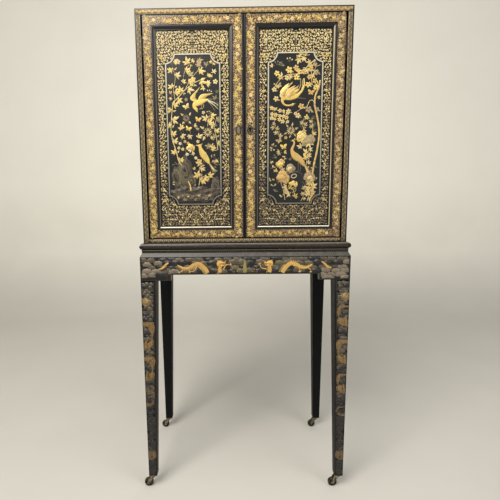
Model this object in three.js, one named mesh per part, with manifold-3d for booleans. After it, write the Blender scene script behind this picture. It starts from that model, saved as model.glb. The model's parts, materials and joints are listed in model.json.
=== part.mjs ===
// A two-door lacquer cabinet on its own stand, on castors.
// Millimetres, +Z up, the doors face -Y and +X is to the right of someone facing them.
// The origin is on the floor, in the middle of the footprint with the castor wheels in it.

import * as THREE from 'three';
import { mergeVertices } from 'three/addons/utils/BufferGeometryUtils.js';
import Module from 'manifold-3d';

const wasm = await Module();
wasm.setup();

// Fits that the pieces share
const seatGap = 0.3; // between a piece and the one it is seated on
const runningGap = 0.4; // between pieces that slide or turn past each other
const overrun = 2; // how far a cutter runs past what it cuts
const lap = 1; // how far two shapes of one piece run into each other
const roundSegments = 24;
const rodSegments = 12;
const arcSegments = 6;

// Stand, whose width and depth follow from the cabinet that it carries
const standHeight = 865.5;
const standTopThickness = 12.5;
const standRearMargin = 9; // from the cabinet's back to the stand's
const apronThickness = 20;
const apronHeight = 60;
const earDrop = 20.5; // how far the corner ears hang below the apron
const earWidth = 102.5; // from the corner of the stand
const legTopSize = 51;
const legFootSize = 29;

// Castors, each hanging from the foot of a leg and trailing towards -X
const castorHeight = 50;
const castorPlateThickness = 1.8;
const castorTrail = 18.5;
const wheelRadius = 16;
const wheelWidth = 10;
const wheelRimDepth = 3.8;
const wheelDish = 2; // how far the web lies inside the rim and the hub
const wheelHubRadius = 5.6;
const wheelRounding = 1.9;
const axleRadius = 2.2;
const axleHeadRadius = 3.6;
const axleHeadThickness = 1.5;
const cheekThickness = 2.4;
const cheekEyeRadius = 5.6;
const cheekRootShare = 0.8; // of the crown's radius, where the arm leaves the crown
const cheekBowShare = 0.3; // how far an arm bows towards the corner above the wheel
const crownRadius = 10.5;
const crownThickness = 3.6;
const crownDrop = 2.4; // from the plate down to the crown
const swivelPinRadius = 3;
const swivelHeadRadius = 4.8;
const swivelHeadThickness = 1.7;

// Cabinet box
const cabinetWidth = 674;
const cabinetDepth = 358;
const cabinetHeight = 758.2;
const boardThickness = 18;
const backThickness = 8;
const shelfThickness = 16;
const shelfHousing = 6; // how far a shelf is let into the sides
const shelfSetBack = 50; // from the cabinet's front to the shelf's
const shelfCount = 2;

// Moulding round the foot of the cabinet
const torusRadius = 10;
const torusProjection = 13;
const filletProjection = 6;
const filletHeight = 11.2;
const mitreGap = 0.2;
const mouldingLap = 1.5; // how far the moulding stands over the bottom board's edge

// Doors
const doorThickness = 20;
const doorEndGap = 2; // above and below a door
const meetingGap = 2; // between the two doors
const hingeGap = 5.4; // between a door and the cabinet's side, filled by the hinge leaves
const hingeStileWidth = 25.3;
const meetingStileWidth = 33.3;
const topRailHeight = 27.3;
const bottomRailHeight = 26.1;
const panelRecess = 9;
const panelThickness = 7;
const grooveDepth = 6;
const ovoloWidth = 8;
const ovoloDepth = 5.3;
const upperFillet = 2.5;
const lowerFillet = 2.5;
const upperFilletDrop = 1.2;
const beadWidth = 4;
const beadRise = 2.2;
const beadEdge = 0.6; // straight edge of the bead under its rounding

// Raised cartouche on each door panel
const cartoucheWidth = 174;
const cartoucheHeight = 470;
const cartoucheNotch = 28;
const cartoucheThickness = 4.7;
const cartoucheBorder = 4;
const cartoucheSink = 1.5; // how far the field lies below the border
const cartoucheBevel = 0.9;

// Hinges
const hingeLength = 60;
const hingeFromDoorEnd = 90; // from a door's end to the middle of the hinge
const hingeLeafDepth = 18;
const hingeLeafGap = 0.4;
const hingeForward = 1.5; // how far the pin stands before the door's face
const hingePinRadius = 1;
const hingePinTip = 1.5;
const hingePinRunningGap = 0.15;
const knuckleCount = 5;

// Lock in the right door, with a blind escutcheon on the left door to match
const lockWidth = 26;
const lockHeight = 50;
const lockThickness = 11;
const lockSunk = 9; // how deep the case is let into the stile
const lockBoltHeight = 10;
const lockBoltThickness = 4;
const lockBoltLength = 22;
const lockBoltRest = 0.5; // how far the drawn bolt lies inside the stile's edge
const lockBoltThrow = 8;
const keyFromEdge = 17.5;
const keyholeRadius = 3.4;
const keyholeHeight = 13;
const keySlotWidth = 3.4;
const escutcheonWidth = 12.6;
const escutcheonHeight = 25;
const escutcheonThickness = 1.2;
const escutcheonBevel = 0.3;

// Bolts on the back of the left door, at its top and bottom
const doorBoltRadius = 3;
const doorBoltLength = 70;
const doorBoltRest = 1; // how far the drawn bolt lies inside the door's end
const doorBoltThrow = 8;
const doorBoltFromEdge = 14;
const doorBoltPlateWidth = 16;
const doorBoltPlateLength = 60;
const doorBoltPlateThickness = 1.5;
const doorBoltPlateFromEnd = 6;
const doorBoltStaple = 8;
const doorBoltStapleWall = 1.5;
const doorBoltKnobRadius = 2.5;
const doorBoltKnobReach = 5;

// Sizes, heights and places that follow from the ones above
const cabinetSetBack = torusProjection; // the moulding stands flush with the stand's faces
const standWidth = cabinetWidth + 2 * torusProjection;
const standDepth = cabinetSetBack + cabinetDepth + standRearMargin;
const standTopSlope = torusProjection - filletProjection;
const standTopBase = standHeight - standTopThickness;
const apronTop = standTopBase - seatGap;
const apronBase = standTopBase - apronHeight;
const earBase = apronBase - earDrop;
const legTop = earBase - seatGap;
const cabinetBase = standHeight + seatGap;
const cabinetTop = cabinetBase + cabinetHeight;
const cabinetFront = cabinetSetBack - standDepth / 2;
const cabinetBack = cabinetFront + cabinetDepth;
const mouldingTop = cabinetBase + filletHeight + 2 * torusRadius;
const floorTop = mouldingTop - mouldingLap + boardThickness;
const ceiling = cabinetTop - boardThickness;
const innerHalfWidth = cabinetWidth / 2 - boardThickness;
const backPanelFront = cabinetBack - backThickness;
const doorWidth = innerHalfWidth - hingeGap - meetingGap / 2;
const doorHeight = ceiling - floorTop - 2 * doorEndGap;
const doorBase = floorTop + doorEndGap;
const doorBoltY = doorThickness + seatGap + doorBoltPlateThickness + 2 * runningGap + doorBoltRadius;
const keyHeight = doorHeight / 2;
const lockBoltY = doorThickness - lockSunk + lockThickness / 2;
const castorOverhang = castorTrail + wheelRadius - legFootSize / 2;

const lacquer = new THREE.MeshStandardMaterial({ color: 0x0c0b0a, roughness: 0.28, metalness: 0 });
const gildedLacquer = new THREE.MeshStandardMaterial({ color: 0x7a6238, roughness: 0.4, metalness: 0.2 });
const cartoucheLacquer = new THREE.MeshStandardMaterial({ color: 0x26261f, roughness: 0.35, metalness: 0 });
const insideWood = new THREE.MeshStandardMaterial({ color: 0x1d1511, roughness: 0.6, metalness: 0 });
const brass = new THREE.MeshStandardMaterial({ color: 0x9a8a5c, roughness: 0.35, metalness: 1 });
const darkBrass = new THREE.MeshStandardMaterial({ color: 0x2c251a, roughness: 0.45, metalness: 1 });
const steel = new THREE.MeshStandardMaterial({ color: 0x6b6a66, roughness: 0.4, metalness: 1 });

// Geometry with its positions alone and its shared corners merged
function weld(geometry) {
  const bare = geometry.clone();
  bare.deleteAttribute('normal');
  bare.deleteAttribute('uv');
  return mergeVertices(bare);
}

function toSolid(geometry) {
  const welded = weld(geometry);
  const vertProperties = Float32Array.from(welded.attributes.position.array);
  const triVerts = Uint32Array.from(welded.index.array);
  return new wasm.Manifold(new wasm.Mesh({ numProp: 3, vertProperties, triVerts }));
}

function toGeometry(solid) {
  const mesh = solid.getMesh();
  const geometry = new THREE.BufferGeometry();
  geometry.setAttribute('position', new THREE.BufferAttribute(Float32Array.from(mesh.vertProperties), 3));
  geometry.setIndex(new THREE.BufferAttribute(Uint32Array.from(mesh.triVerts), 1));
  geometry.computeVertexNormals();
  return geometry;
}

function join(...geometries) {
  return toGeometry(geometries.map(toSolid).reduce((whole, next) => whole.add(next)));
}

function cut(geometry, ...cutters) {
  return toGeometry(cutters.map(toSolid).reduce((whole, next) => whole.subtract(next), toSolid(geometry)));
}

// The same shape mirrored left to right, its faces still pointing out
function mirror(geometry) {
  const flipped = weld(geometry);
  flipped.scale(-1, 1, 1);
  const corners = flipped.index.array;
  for (let i = 0; i < corners.length; i += 3) {
    [corners[i], corners[i + 1]] = [corners[i + 1], corners[i]];
  }
  flipped.computeVertexNormals();
  return flipped;
}

function onSide(side, geometry) {
  return side > 0 ? geometry : mirror(geometry);
}

// A square-edged board, given by where it starts and ends along each axis
function board(x, y, z) {
  const box = new THREE.BoxGeometry(x[1] - x[0], y[1] - y[0], z[1] - z[0]);
  return box.translate((x[0] + x[1]) / 2, (y[0] + y[1]) / 2, (z[0] + z[1]) / 2);
}

// A block whose lower and upper faces are rectangles of different sizes
function taperedBlock(lower, upper) {
  const corners = [lower, upper].flatMap(({ x, y, z }) => [
    x[0], y[0], z, x[1], y[0], z, x[1], y[1], z, x[0], y[1], z,
  ]);
  const geometry = new THREE.BufferGeometry();
  geometry.setAttribute('position', new THREE.BufferAttribute(new Float32Array(corners), 3));
  geometry.setIndex([
    0, 2, 1, 0, 3, 2, 4, 5, 6, 4, 6, 7, 0, 1, 5, 0, 5, 4,
    1, 2, 6, 1, 6, 5, 2, 3, 7, 2, 7, 6, 3, 0, 4, 3, 4, 7,
  ]);
  geometry.computeVertexNormals();
  return geometry;
}

// A round bar standing on z = from and ending at z = to
function rod(radius, from, to, segments = rodSegments) {
  const bar = new THREE.CylinderGeometry(radius, radius, to - from, segments);
  return bar.rotateX(Math.PI / 2).translate(0, 0, (from + to) / 2);
}

// A shape drawn in X and Z, as thick as depth, with its back on y = 0 and its face towards -Y
function frontPlate(shape, depth, bevel = 0) {
  const plate = new THREE.ExtrudeGeometry(shape, {
    depth: depth - 2 * bevel,
    bevelEnabled: bevel > 0,
    bevelThickness: bevel,
    bevelSize: bevel,
    bevelOffset: -bevel,
    bevelSegments: 1,
    curveSegments: arcSegments,
  });
  return plate.translate(0, 0, bevel).rotateX(Math.PI / 2);
}

function sorted(a, b) {
  return a < b ? [a, b] : [b, a];
}

function addPiece(group, name, geometry, material, place = [0, 0, 0]) {
  const piece = new THREE.Mesh(geometry, material);
  piece.name = name;
  piece.position.set(...place);
  group.add(piece);
}

// Stand

function standTop() {
  const halfWidth = standWidth / 2;
  const halfDepth = standDepth / 2;
  const lower = { x: [-halfWidth, halfWidth], y: [-halfDepth, halfDepth], z: standTopBase };
  const upper = {
    x: [standTopSlope - halfWidth, halfWidth - standTopSlope],
    y: [standTopSlope - halfDepth, halfDepth - standTopSlope],
    z: standHeight,
  };
  return taperedBlock(lower, upper);
}

// Outline of an apron of a given half length, with an ear hanging at each end
function apronOutline(halfLength, earLength) {
  const shape = new THREE.Shape();
  shape.moveTo(-halfLength, earBase);
  shape.lineTo(earLength - halfLength, earBase);
  shape.lineTo(earLength - halfLength, apronBase);
  shape.lineTo(halfLength - earLength, apronBase);
  shape.lineTo(halfLength - earLength, earBase);
  shape.lineTo(halfLength, earBase);
  shape.lineTo(halfLength, apronTop);
  shape.lineTo(-halfLength, apronTop);
  return shape;
}

function longApron() {
  return frontPlate(apronOutline(standWidth / 2, earWidth), apronThickness);
}

function sideApron() {
  const cover = apronThickness + seatGap; // what the long aprons cover of each end
  const outline = apronOutline(standDepth / 2 - cover, earWidth - cover);
  return frontPlate(outline, apronThickness).rotateZ(Math.PI / 2);
}

// A leg with straight outer faces, tapering on its two inner faces, and a post behind the aprons
function leg(side, end) {
  const outerX = (side * standWidth) / 2;
  const outerY = (end * standDepth) / 2;
  const section = (size, z) => ({
    x: sorted(outerX, outerX - side * size),
    y: sorted(outerY, outerY - end * size),
    z,
  });
  const hidden = apronThickness + seatGap;
  const post = board(
    sorted(outerX - side * hidden, outerX - side * legTopSize),
    sorted(outerY - end * hidden, outerY - end * legTopSize),
    [legTop - lap, apronTop],
  );
  return join(taperedBlock(section(legFootSize, castorHeight), section(legTopSize, legTop)), post);
}

function makeStand() {
  const stand = new THREE.Group();
  addPiece(stand, 'stand_top', standTop(), lacquer);
  addPiece(stand, 'apron_front', longApron(), lacquer, [0, apronThickness - standDepth / 2, 0]);
  addPiece(stand, 'apron_rear', longApron(), lacquer, [0, standDepth / 2, 0]);
  addPiece(stand, 'apron_left', sideApron(), lacquer, [-standWidth / 2, 0, 0]);
  addPiece(stand, 'apron_right', sideApron(), lacquer, [standWidth / 2 - apronThickness, 0, 0]);
  for (const [sideName, side] of [['left', -1], ['right', 1]]) {
    for (const [endName, end] of [['front', -1], ['rear', 1]]) {
      addPiece(stand, `leg_${endName}_${sideName}`, leg(side, end), lacquer);
      stand.add(makeCastor(`${endName}_${sideName}`, side, end));
    }
  }
  return stand;
}

// Castors, drawn about their swivel axis with z = 0 on the floor

const castorPlateBase = castorHeight - seatGap - castorPlateThickness;
const crownTop = castorPlateBase - crownDrop;
const crownBase = crownTop - crownThickness;

// Square plate under the leg, with the swivel pin and its riveted head
function castorPlate() {
  const half = legFootSize / 2;
  const plate = board([-half, half], [-half, half], [castorPlateBase, castorPlateBase + castorPlateThickness]);
  const headTop = crownBase - runningGap;
  const headBase = headTop - swivelHeadThickness;
  return join(
    plate,
    rod(swivelPinRadius, headBase, castorPlateBase + castorPlateThickness / 2),
    rod(swivelHeadRadius, headBase, headTop),
  );
}

// One arm of the fork, from the crown down to the eye round the axle
function cheekOutline() {
  const root = crownRadius * cheekRootShare;
  const shape = new THREE.Shape();
  const bow = (from, to, corner) => {
    const control = from.clone().lerp(to, 1 / 2).lerp(corner, cheekBowShare);
    shape.quadraticCurveTo(control.x, control.y, to.x, to.y);
  };
  const backTop = new THREE.Vector2(-root, crownTop);
  const eyeBack = new THREE.Vector2(-castorTrail - cheekEyeRadius, wheelRadius);
  const eyeFront = new THREE.Vector2(-castorTrail + cheekEyeRadius, wheelRadius);
  const frontBase = new THREE.Vector2(root, crownBase);
  shape.moveTo(backTop.x, backTop.y);
  bow(backTop, eyeBack, new THREE.Vector2(eyeBack.x, backTop.y));
  shape.absarc(-castorTrail, wheelRadius, cheekEyeRadius, Math.PI, 2 * Math.PI, false);
  bow(eyeFront, frontBase, new THREE.Vector2(eyeFront.x, frontBase.y));
  shape.lineTo(root, crownTop);
  return shape;
}

function alongY(geometry, x, z) {
  return geometry.rotateX(-Math.PI / 2).translate(x, 0, z);
}

function castorFork() {
  const inner = wheelWidth / 2 + runningGap;
  const outer = inner + cheekThickness;
  const head = outer + axleHeadThickness;
  const cheek = () => frontPlate(cheekOutline(), cheekThickness);
  const body = join(
    rod(crownRadius, crownBase, crownTop, roundSegments),
    cheek().translate(0, outer, 0),
    cheek().translate(0, -inner, 0),
    alongY(rod(axleRadius, -outer - axleHeadThickness / 2, outer + axleHeadThickness / 2), -castorTrail, wheelRadius),
    alongY(rod(axleHeadRadius, outer - cheekThickness / 2, head), -castorTrail, wheelRadius),
    alongY(rod(axleHeadRadius, -head, cheekThickness / 2 - outer), -castorTrail, wheelRadius),
  );
  return cut(body, rod(swivelPinRadius + runningGap, crownBase - overrun, crownTop + overrun));
}

// Wheel turned about its axle, with a rounded rim and a dished web
function castorWheel() {
  const half = wheelWidth / 2;
  const web = half - wheelDish;
  const rim = wheelRadius - wheelRimDepth;
  const shoulder = wheelRadius - wheelRounding;
  const bore = axleRadius + runningGap / 2;
  const side = [
    [bore, half],
    [wheelHubRadius, half],
    [wheelHubRadius + wheelDish / 2, web],
    [rim - wheelDish / 2, web],
    [rim, half],
    [shoulder, half],
    [wheelRadius, half - wheelRounding],
  ];
  const profile = [...side, ...side.map(([radius, height]) => [radius, -height]).reverse(), side[0]];
  const points = profile.map(([radius, height]) => new THREE.Vector2(radius, height));
  return new THREE.LatheGeometry(points.reverse(), roundSegments);
}

function makeCastor(name, side, end) {
  const castor = new THREE.Group();
  addPiece(castor, `castor_plate_${name}`, castorPlate(), brass);
  addPiece(castor, `castor_fork_${name}`, castorFork(), brass);
  addPiece(castor, `castor_wheel_${name}`, castorWheel(), brass, [-castorTrail, 0, wheelRadius]);
  castor.position.x = (side * (standWidth - legFootSize)) / 2;
  castor.position.y = (end * (standDepth - legFootSize)) / 2;
  return castor;
}

// Cabinet box

const shelfPitch = (ceiling - floorTop - shelfCount * shelfThickness) / (shelfCount + 1) + shelfThickness;
const shelfHeights = Array.from({ length: shelfCount }, (_, i) => floorTop + (i + 1) * shelfPitch - shelfThickness);
const shelfFront = cabinetFront + shelfSetBack;
const shelfBack = backPanelFront - seatGap;

function cabinetSide() {
  const side = board(
    [innerHalfWidth, cabinetWidth / 2],
    [cabinetFront, cabinetBack],
    [cabinetBase, ceiling - seatGap],
  );
  const housings = shelfHeights.map((height) => board(
    [innerHalfWidth - overrun, innerHalfWidth + shelfHousing],
    [shelfFront - seatGap, shelfBack + seatGap],
    [height - seatGap, height + shelfThickness + seatGap],
  ));
  return cut(side, ...housings);
}

// Where the left door's bolts shoot, seen from the cabinet
const doorBoltX = -(meetingGap / 2 + doorBoltFromEdge);

function boltHole(from, to) {
  return rod(doorBoltRadius + runningGap, from, to).translate(doorBoltX, cabinetFront + doorBoltY, 0);
}

function cabinetTopBoard() {
  const top = board([-cabinetWidth / 2, cabinetWidth / 2], [cabinetFront, cabinetBack], [ceiling, cabinetTop]);
  return cut(top, boltHole(ceiling - overrun, ceiling + doorBoltThrow));
}

function cabinetFloor() {
  const reach = innerHalfWidth - seatGap;
  const floor = board([-reach, reach], [cabinetFront, shelfBack], [floorTop - boardThickness, floorTop]);
  return cut(floor, boltHole(floorTop - doorBoltThrow, floorTop + overrun));
}

function backPanel() {
  const reach = innerHalfWidth - seatGap;
  return board(
    [-reach, reach],
    [backPanelFront, cabinetBack],
    [floorTop - boardThickness, ceiling - seatGap],
  );
}

function shelf(height) {
  const reach = innerHalfWidth + shelfHousing - seatGap;
  return board([-reach, reach], [shelfFront, shelfBack], [height, height + shelfThickness]);
}

// Section of the foot moulding, x away from the cabinet's face and y up
function mouldingSection() {
  const centre = torusProjection - torusRadius;
  const centreHeight = filletHeight + torusRadius;
  const start = -Math.acos((filletProjection - centre) / torusRadius);
  const shape = new THREE.Shape();
  shape.moveTo(seatGap, 0);
  shape.lineTo(filletProjection, 0);
  shape.absarc(centre, centreHeight, torusRadius, start, Math.PI / 2, false);
  shape.lineTo(seatGap, centreHeight + torusRadius);
  return shape;
}

// A run of moulding along -Y, standing out towards +X. An end whose mitre is 1 is cut at 45
// degrees, so that it grows with the projection, and one whose mitre is 0 is square.
function mouldingRun(length, startMitre, endMitre) {
  const run = new THREE.ExtrudeGeometry(mouldingSection(), {
    depth: length,
    bevelEnabled: false,
    curveSegments: arcSegments,
  });
  const places = run.attributes.position;
  for (let i = 0; i < places.count; i += 1) {
    const out = places.getX(i) - mitreGap;
    const along = places.getZ(i);
    places.setZ(i, along < length / 2 ? along - startMitre * out : along + endMitre * out);
  }
  return run.rotateX(Math.PI / 2);
}

function makeMoulding() {
  const moulding = new THREE.Group();
  const front = mouldingRun(cabinetWidth, 1, 1).rotateZ(-Math.PI / 2);
  const side = mouldingRun(cabinetDepth, 0, 1);
  const halfWidth = cabinetWidth / 2;
  addPiece(moulding, 'base_moulding_front', front, lacquer, [halfWidth, cabinetFront, cabinetBase]);
  addPiece(moulding, 'base_moulding_right', side, lacquer, [halfWidth, cabinetBack, cabinetBase]);
  addPiece(moulding, 'base_moulding_left', mirror(side), lacquer, [-halfWidth, cabinetBack, cabinetBase]);
  return moulding;
}

function makeCabinet() {
  const cabinet = new THREE.Group();
  addPiece(cabinet, 'cabinet_side_left', mirror(cabinetSide()), lacquer);
  addPiece(cabinet, 'cabinet_side_right', cabinetSide(), lacquer);
  addPiece(cabinet, 'cabinet_top', cabinetTopBoard(), lacquer);
  addPiece(cabinet, 'cabinet_floor', cabinetFloor(), insideWood);
  addPiece(cabinet, 'back_panel', backPanel(), insideWood);
  addPiece(cabinet, 'shelf_lower', shelf(shelfHeights[0]), insideWood);
  addPiece(cabinet, 'shelf_upper', shelf(shelfHeights[1]), insideWood);
  return cabinet;
}

// Doors, drawn as the right door: x from the meeting edge out to the hinges, y back from the
// front face and z up from the door's foot. The left door's pieces are mirrored.

const openingStart = meetingStileWidth;
const openingEnd = doorWidth - hingeStileWidth;
const openingBase = bottomRailHeight;
const openingTop = doorHeight - topRailHeight;
const grooveSpan = [panelRecess - seatGap, panelRecess + panelThickness + seatGap];

// Moulding worked on the frame's inner edge, x into the opening, y back and z along it,
// with mitred ends
function sticking(length) {
  const bottom = upperFilletDrop + ovoloDepth;
  const width = upperFillet + ovoloWidth + lowerFillet;
  const shape = new THREE.Shape();
  shape.moveTo(-lap, upperFilletDrop);
  shape.lineTo(upperFillet, upperFilletDrop);
  shape.absellipse(upperFillet, bottom, ovoloWidth, ovoloDepth, -Math.PI / 2, 0, false);
  shape.lineTo(width, bottom);
  shape.lineTo(width, grooveSpan[0]);
  shape.lineTo(-lap, grooveSpan[0]);
  const run = new THREE.ExtrudeGeometry(shape, { depth: length, bevelEnabled: false, curveSegments: arcSegments });
  const places = run.attributes.position;
  for (let i = 0; i < places.count; i += 1) {
    const drawnIn = Math.max(places.getX(i), 0) + seatGap;
    const along = places.getZ(i);
    places.setZ(i, along < length / 2 ? along + drawnIn : along - drawnIn);
  }
  return run;
}

function stile(from, to, groove, strip) {
  const body = board([from, to], [0, doorThickness], [0, doorHeight]);
  const slot = board(groove, grooveSpan, [-overrun, doorHeight + overrun]);
  return join(cut(body, slot), strip);
}

function hingeStile() {
  const strip = sticking(openingTop - openingBase).rotateY(Math.PI).translate(openingEnd, 0, openingTop);
  return stile(openingEnd, doorWidth, [openingEnd - overrun, openingEnd + grooveDepth], strip);
}

function meetingStile() {
  const strip = sticking(openingTop - openingBase).translate(openingStart, 0, openingBase);
  return stile(0, meetingStileWidth, [openingStart - grooveDepth, openingStart + overrun], strip);
}

// A rail with a tongue at each end in the stiles' grooves, and a groove for the panel
function rail(height, atTop) {
  const span = (from, to) => (atTop ? [doorHeight - to, doorHeight - from] : [from, to]);
  const tongueReach = grooveDepth - seatGap;
  const body = board([openingStart + seatGap, openingEnd - seatGap], [0, doorThickness], span(0, height));
  const tongues = board(
    [openingStart - tongueReach, openingEnd + tongueReach],
    [panelRecess, panelRecess + panelThickness],
    span(0, height - grooveDepth),
  );
  const slot = board(
    [openingStart - overrun, openingEnd + overrun],
    grooveSpan,
    span(height - grooveDepth, height + overrun),
  );
  const strip = sticking(openingEnd - openingStart);
  const placed = atTop
    ? strip.rotateY(Math.PI / 2).translate(openingStart, 0, openingTop)
    : strip.rotateY(-Math.PI / 2).translate(openingEnd, 0, openingBase);
  return join(cut(join(body, tongues), slot), placed);
}

function doorPanel() {
  const reach = grooveDepth - seatGap;
  return board(
    [openingStart - reach, openingEnd + reach],
    [panelRecess, panelRecess + panelThickness],
    [openingBase - reach, openingTop + reach],
  );
}

// Cartouche outline, its corners cut in by arcs round the outer corners, drawn in by inset
function notchedOutline(inset) {
  const radius = cartoucheNotch + inset;
  const turn = Math.asin(inset / radius);
  const shape = new THREE.Shape();
  for (let corner = 0; corner < 4; corner += 1) {
    const sideways = corner === 0 || corner === 3 ? 1 : -1;
    const upwards = corner < 2 ? 1 : -1;
    const quarter = (corner * Math.PI) / 2;
    shape.absarc(
      (sideways * cartoucheWidth) / 2,
      (upwards * cartoucheHeight) / 2,
      radius,
      (3 * Math.PI) / 2 + quarter - turn,
      Math.PI + quarter + turn,
      true,
    );
  }
  shape.closePath();
  return shape;
}

function cartouche() {
  const slab = frontPlate(notchedOutline(0), cartoucheThickness, cartoucheBevel);
  const field = frontPlate(notchedOutline(cartoucheBorder), cartoucheSink + overrun);
  return cut(slab, field.translate(0, cartoucheSink - cartoucheThickness, 0));
}

// Rounded bead on the right door's meeting edge
function meetingBead() {
  const foot = -seatGap;
  const spring = foot - beadEdge;
  const shape = new THREE.Shape();
  shape.moveTo(0, foot);
  shape.lineTo(0, spring);
  shape.absellipse(beadWidth / 2, spring, beadWidth / 2, beadRise - beadEdge, Math.PI, 2 * Math.PI, false);
  shape.lineTo(beadWidth, foot);
  return new THREE.ExtrudeGeometry(shape, {
    depth: doorHeight,
    bevelEnabled: false,
    curveSegments: arcSegments,
  });
}

// Keyhole centred on the origin, round above a straight slot
function keyholeOutline(Path) {
  const half = keySlotWidth / 2;
  const centre = keyholeHeight / 2 - keyholeRadius;
  const meet = Math.sqrt(keyholeRadius ** 2 - half ** 2);
  const turn = Math.atan2(meet, half);
  const shape = new Path();
  shape.moveTo(-half, -keyholeHeight / 2);
  shape.lineTo(half, -keyholeHeight / 2);
  shape.absarc(0, centre, keyholeRadius, -turn, Math.PI + turn, false);
  shape.closePath();
  return shape;
}

function keyholeCutter(reach) {
  return frontPlate(keyholeOutline(THREE.Shape), reach + overrun).translate(keyFromEdge, reach, keyHeight);
}

function escutcheon(open) {
  const shape = new THREE.Shape();
  shape.absellipse(0, 0, escutcheonWidth / 2, escutcheonHeight / 2, 0, 2 * Math.PI, false);
  if (open) shape.holes.push(keyholeOutline(THREE.Path));
  return frontPlate(shape, escutcheonThickness, escutcheonBevel);
}

const lockFront = doorThickness - lockSunk;

function around(middle, length, gap = 0) {
  return [middle - length / 2 - gap, middle + length / 2 + gap];
}

// The right door's meeting stile, cut out for the lock and its key
function lockStile() {
  const pocket = board(
    [-overrun, lockWidth + seatGap],
    [lockFront - seatGap, doorThickness + overrun],
    around(keyHeight, lockHeight, seatGap),
  );
  return cut(meetingStile(), pocket, keyholeCutter(lockFront));
}

function lockCase() {
  const body = board([0, lockWidth], [lockFront, lockFront + lockThickness], around(keyHeight, lockHeight));
  const channel = board(
    [-overrun, lockBoltRest + lockBoltLength + runningGap],
    around(lockBoltY, lockBoltThickness, runningGap),
    around(keyHeight, lockBoltHeight, runningGap),
  );
  return cut(body, channel, keyholeCutter(lockBoltY));
}

function lockBolt() {
  return board(
    [lockBoltRest, lockBoltRest + lockBoltLength],
    around(lockBoltY, lockBoltThickness),
    around(keyHeight, lockBoltHeight),
  );
}

// The left door's meeting stile, with the mortise that the lock's bolt shoots into
function strikeStile() {
  const mortise = board(
    [-overrun, lockBoltThrow - lockBoltRest - meetingGap + overrun],
    around(lockBoltY, lockBoltThickness, runningGap),
    around(keyHeight, lockBoltHeight, runningGap),
  );
  return cut(meetingStile(), mortise);
}

// Door bolts, drawn for a door's top end: x and y from the bolt's own axis, z = 0 at the end
function doorBoltPlate() {
  const back = doorThickness + seatGap - doorBoltY;
  const plateTop = -doorBoltPlateFromEnd;
  const plateBase = plateTop - doorBoltPlateLength;
  const reach = doorBoltRadius + runningGap + doorBoltStapleWall;
  const plate = board(around(0, doorBoltPlateWidth), [back, back + doorBoltPlateThickness], [plateBase, plateTop]);
  const staples = [plateBase, plateTop - doorBoltStaple].map((base) => board(
    [-reach, reach],
    [back, reach],
    [base, base + doorBoltStaple],
  ));
  return cut(join(plate, ...staples), rod(doorBoltRadius + runningGap, plateBase - overrun, plateTop + overrun));
}

function doorBolt() {
  const knob = rod(doorBoltKnobRadius, 0, doorBoltRadius + doorBoltKnobReach).rotateX(-Math.PI / 2);
  knob.translate(0, 0, -doorBoltPlateFromEnd - doorBoltPlateLength / 2);
  return join(rod(doorBoltRadius, -doorBoltRest - doorBoltLength, -doorBoltRest), knob);
}

// Hinges, drawn for the right side about the pin's axis, with z = 0 at the foot of the hinge

const knuckleRadius = hingeGap / 2 - seatGap;
const knucklePitch = hingeLength / knuckleCount;

// A plate and every second knuckle, from first on, each with the neck that joins them
function leafBody(x, first) {
  const plateFront = knuckleRadius + seatGap;
  const pieces = [board(x, [plateFront, hingeForward + hingeLeafDepth], [0, hingeLength])];
  for (let i = first; i < knuckleCount; i += 2) {
    const foot = i * knucklePitch + (i > 0 ? runningGap / 2 : 0);
    const head = (i + 1) * knucklePitch - (i < knuckleCount - 1 ? runningGap / 2 : 0);
    pieces.push(rod(knuckleRadius, foot, head), board(x, [0, plateFront + lap], [foot, head]));
  }
  return join(...pieces);
}

function cabinetLeaf() {
  const body = leafBody([hingeLeafGap / 2, knuckleRadius], 0);
  return join(body, rod(hingePinRadius, -hingePinTip, hingeLength + hingePinTip));
}

function doorLeaf() {
  const body = leafBody([-knuckleRadius, -hingeLeafGap / 2], 1);
  return cut(body, rod(hingePinRadius + hingePinRunningGap, -overrun, hingeLength + overrun));
}

function makeHinges(sideName, side) {
  const hinges = new THREE.Group();
  const reach = hingeFromDoorEnd + hingeLength / 2;
  const feet = { lower: doorBase + reach - hingeLength, upper: doorBase + doorHeight - reach };
  for (const [end, foot] of Object.entries(feet)) {
    const place = [side * (innerHalfWidth - hingeGap / 2), cabinetFront - hingeForward, foot];
    addPiece(hinges, `hinge_cabinet_leaf_${sideName}_${end}`, onSide(side, cabinetLeaf()), darkBrass, place);
    addPiece(hinges, `hinge_door_leaf_${sideName}_${end}`, onSide(side, doorLeaf()), darkBrass, place);
  }
  return hinges;
}

function makeDoor(sideName, side) {
  const door = new THREE.Group();
  const add = (name, geometry, material) => addPiece(door, `${sideName}_door_${name}`, geometry, material);
  const middle = (openingStart + openingEnd) / 2;
  const raised = cartouche().translate(middle, grooveSpan[0], (openingBase + openingTop) / 2);
  const plate = escutcheon(side > 0).translate(keyFromEdge, -seatGap, keyHeight);
  add('hinge_stile', onSide(side, hingeStile()), gildedLacquer);
  add('meeting_stile', onSide(side, side > 0 ? lockStile() : strikeStile()), gildedLacquer);
  add('top_rail', onSide(side, rail(topRailHeight, true)), gildedLacquer);
  add('bottom_rail', onSide(side, rail(bottomRailHeight, false)), gildedLacquer);
  add('panel', onSide(side, doorPanel()), gildedLacquer);
  add('cartouche', onSide(side, raised), cartoucheLacquer);
  add('escutcheon', onSide(side, plate), brass);
  door.position.set((side * meetingGap) / 2, cabinetFront, doorBase);
  return door;
}

function addLock(door) {
  addPiece(door, 'meeting_bead', meetingBead(), lacquer);
  addPiece(door, 'lock_case', lockCase(), steel);
  addPiece(door, 'lock_bolt', lockBolt(), steel);
}

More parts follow.
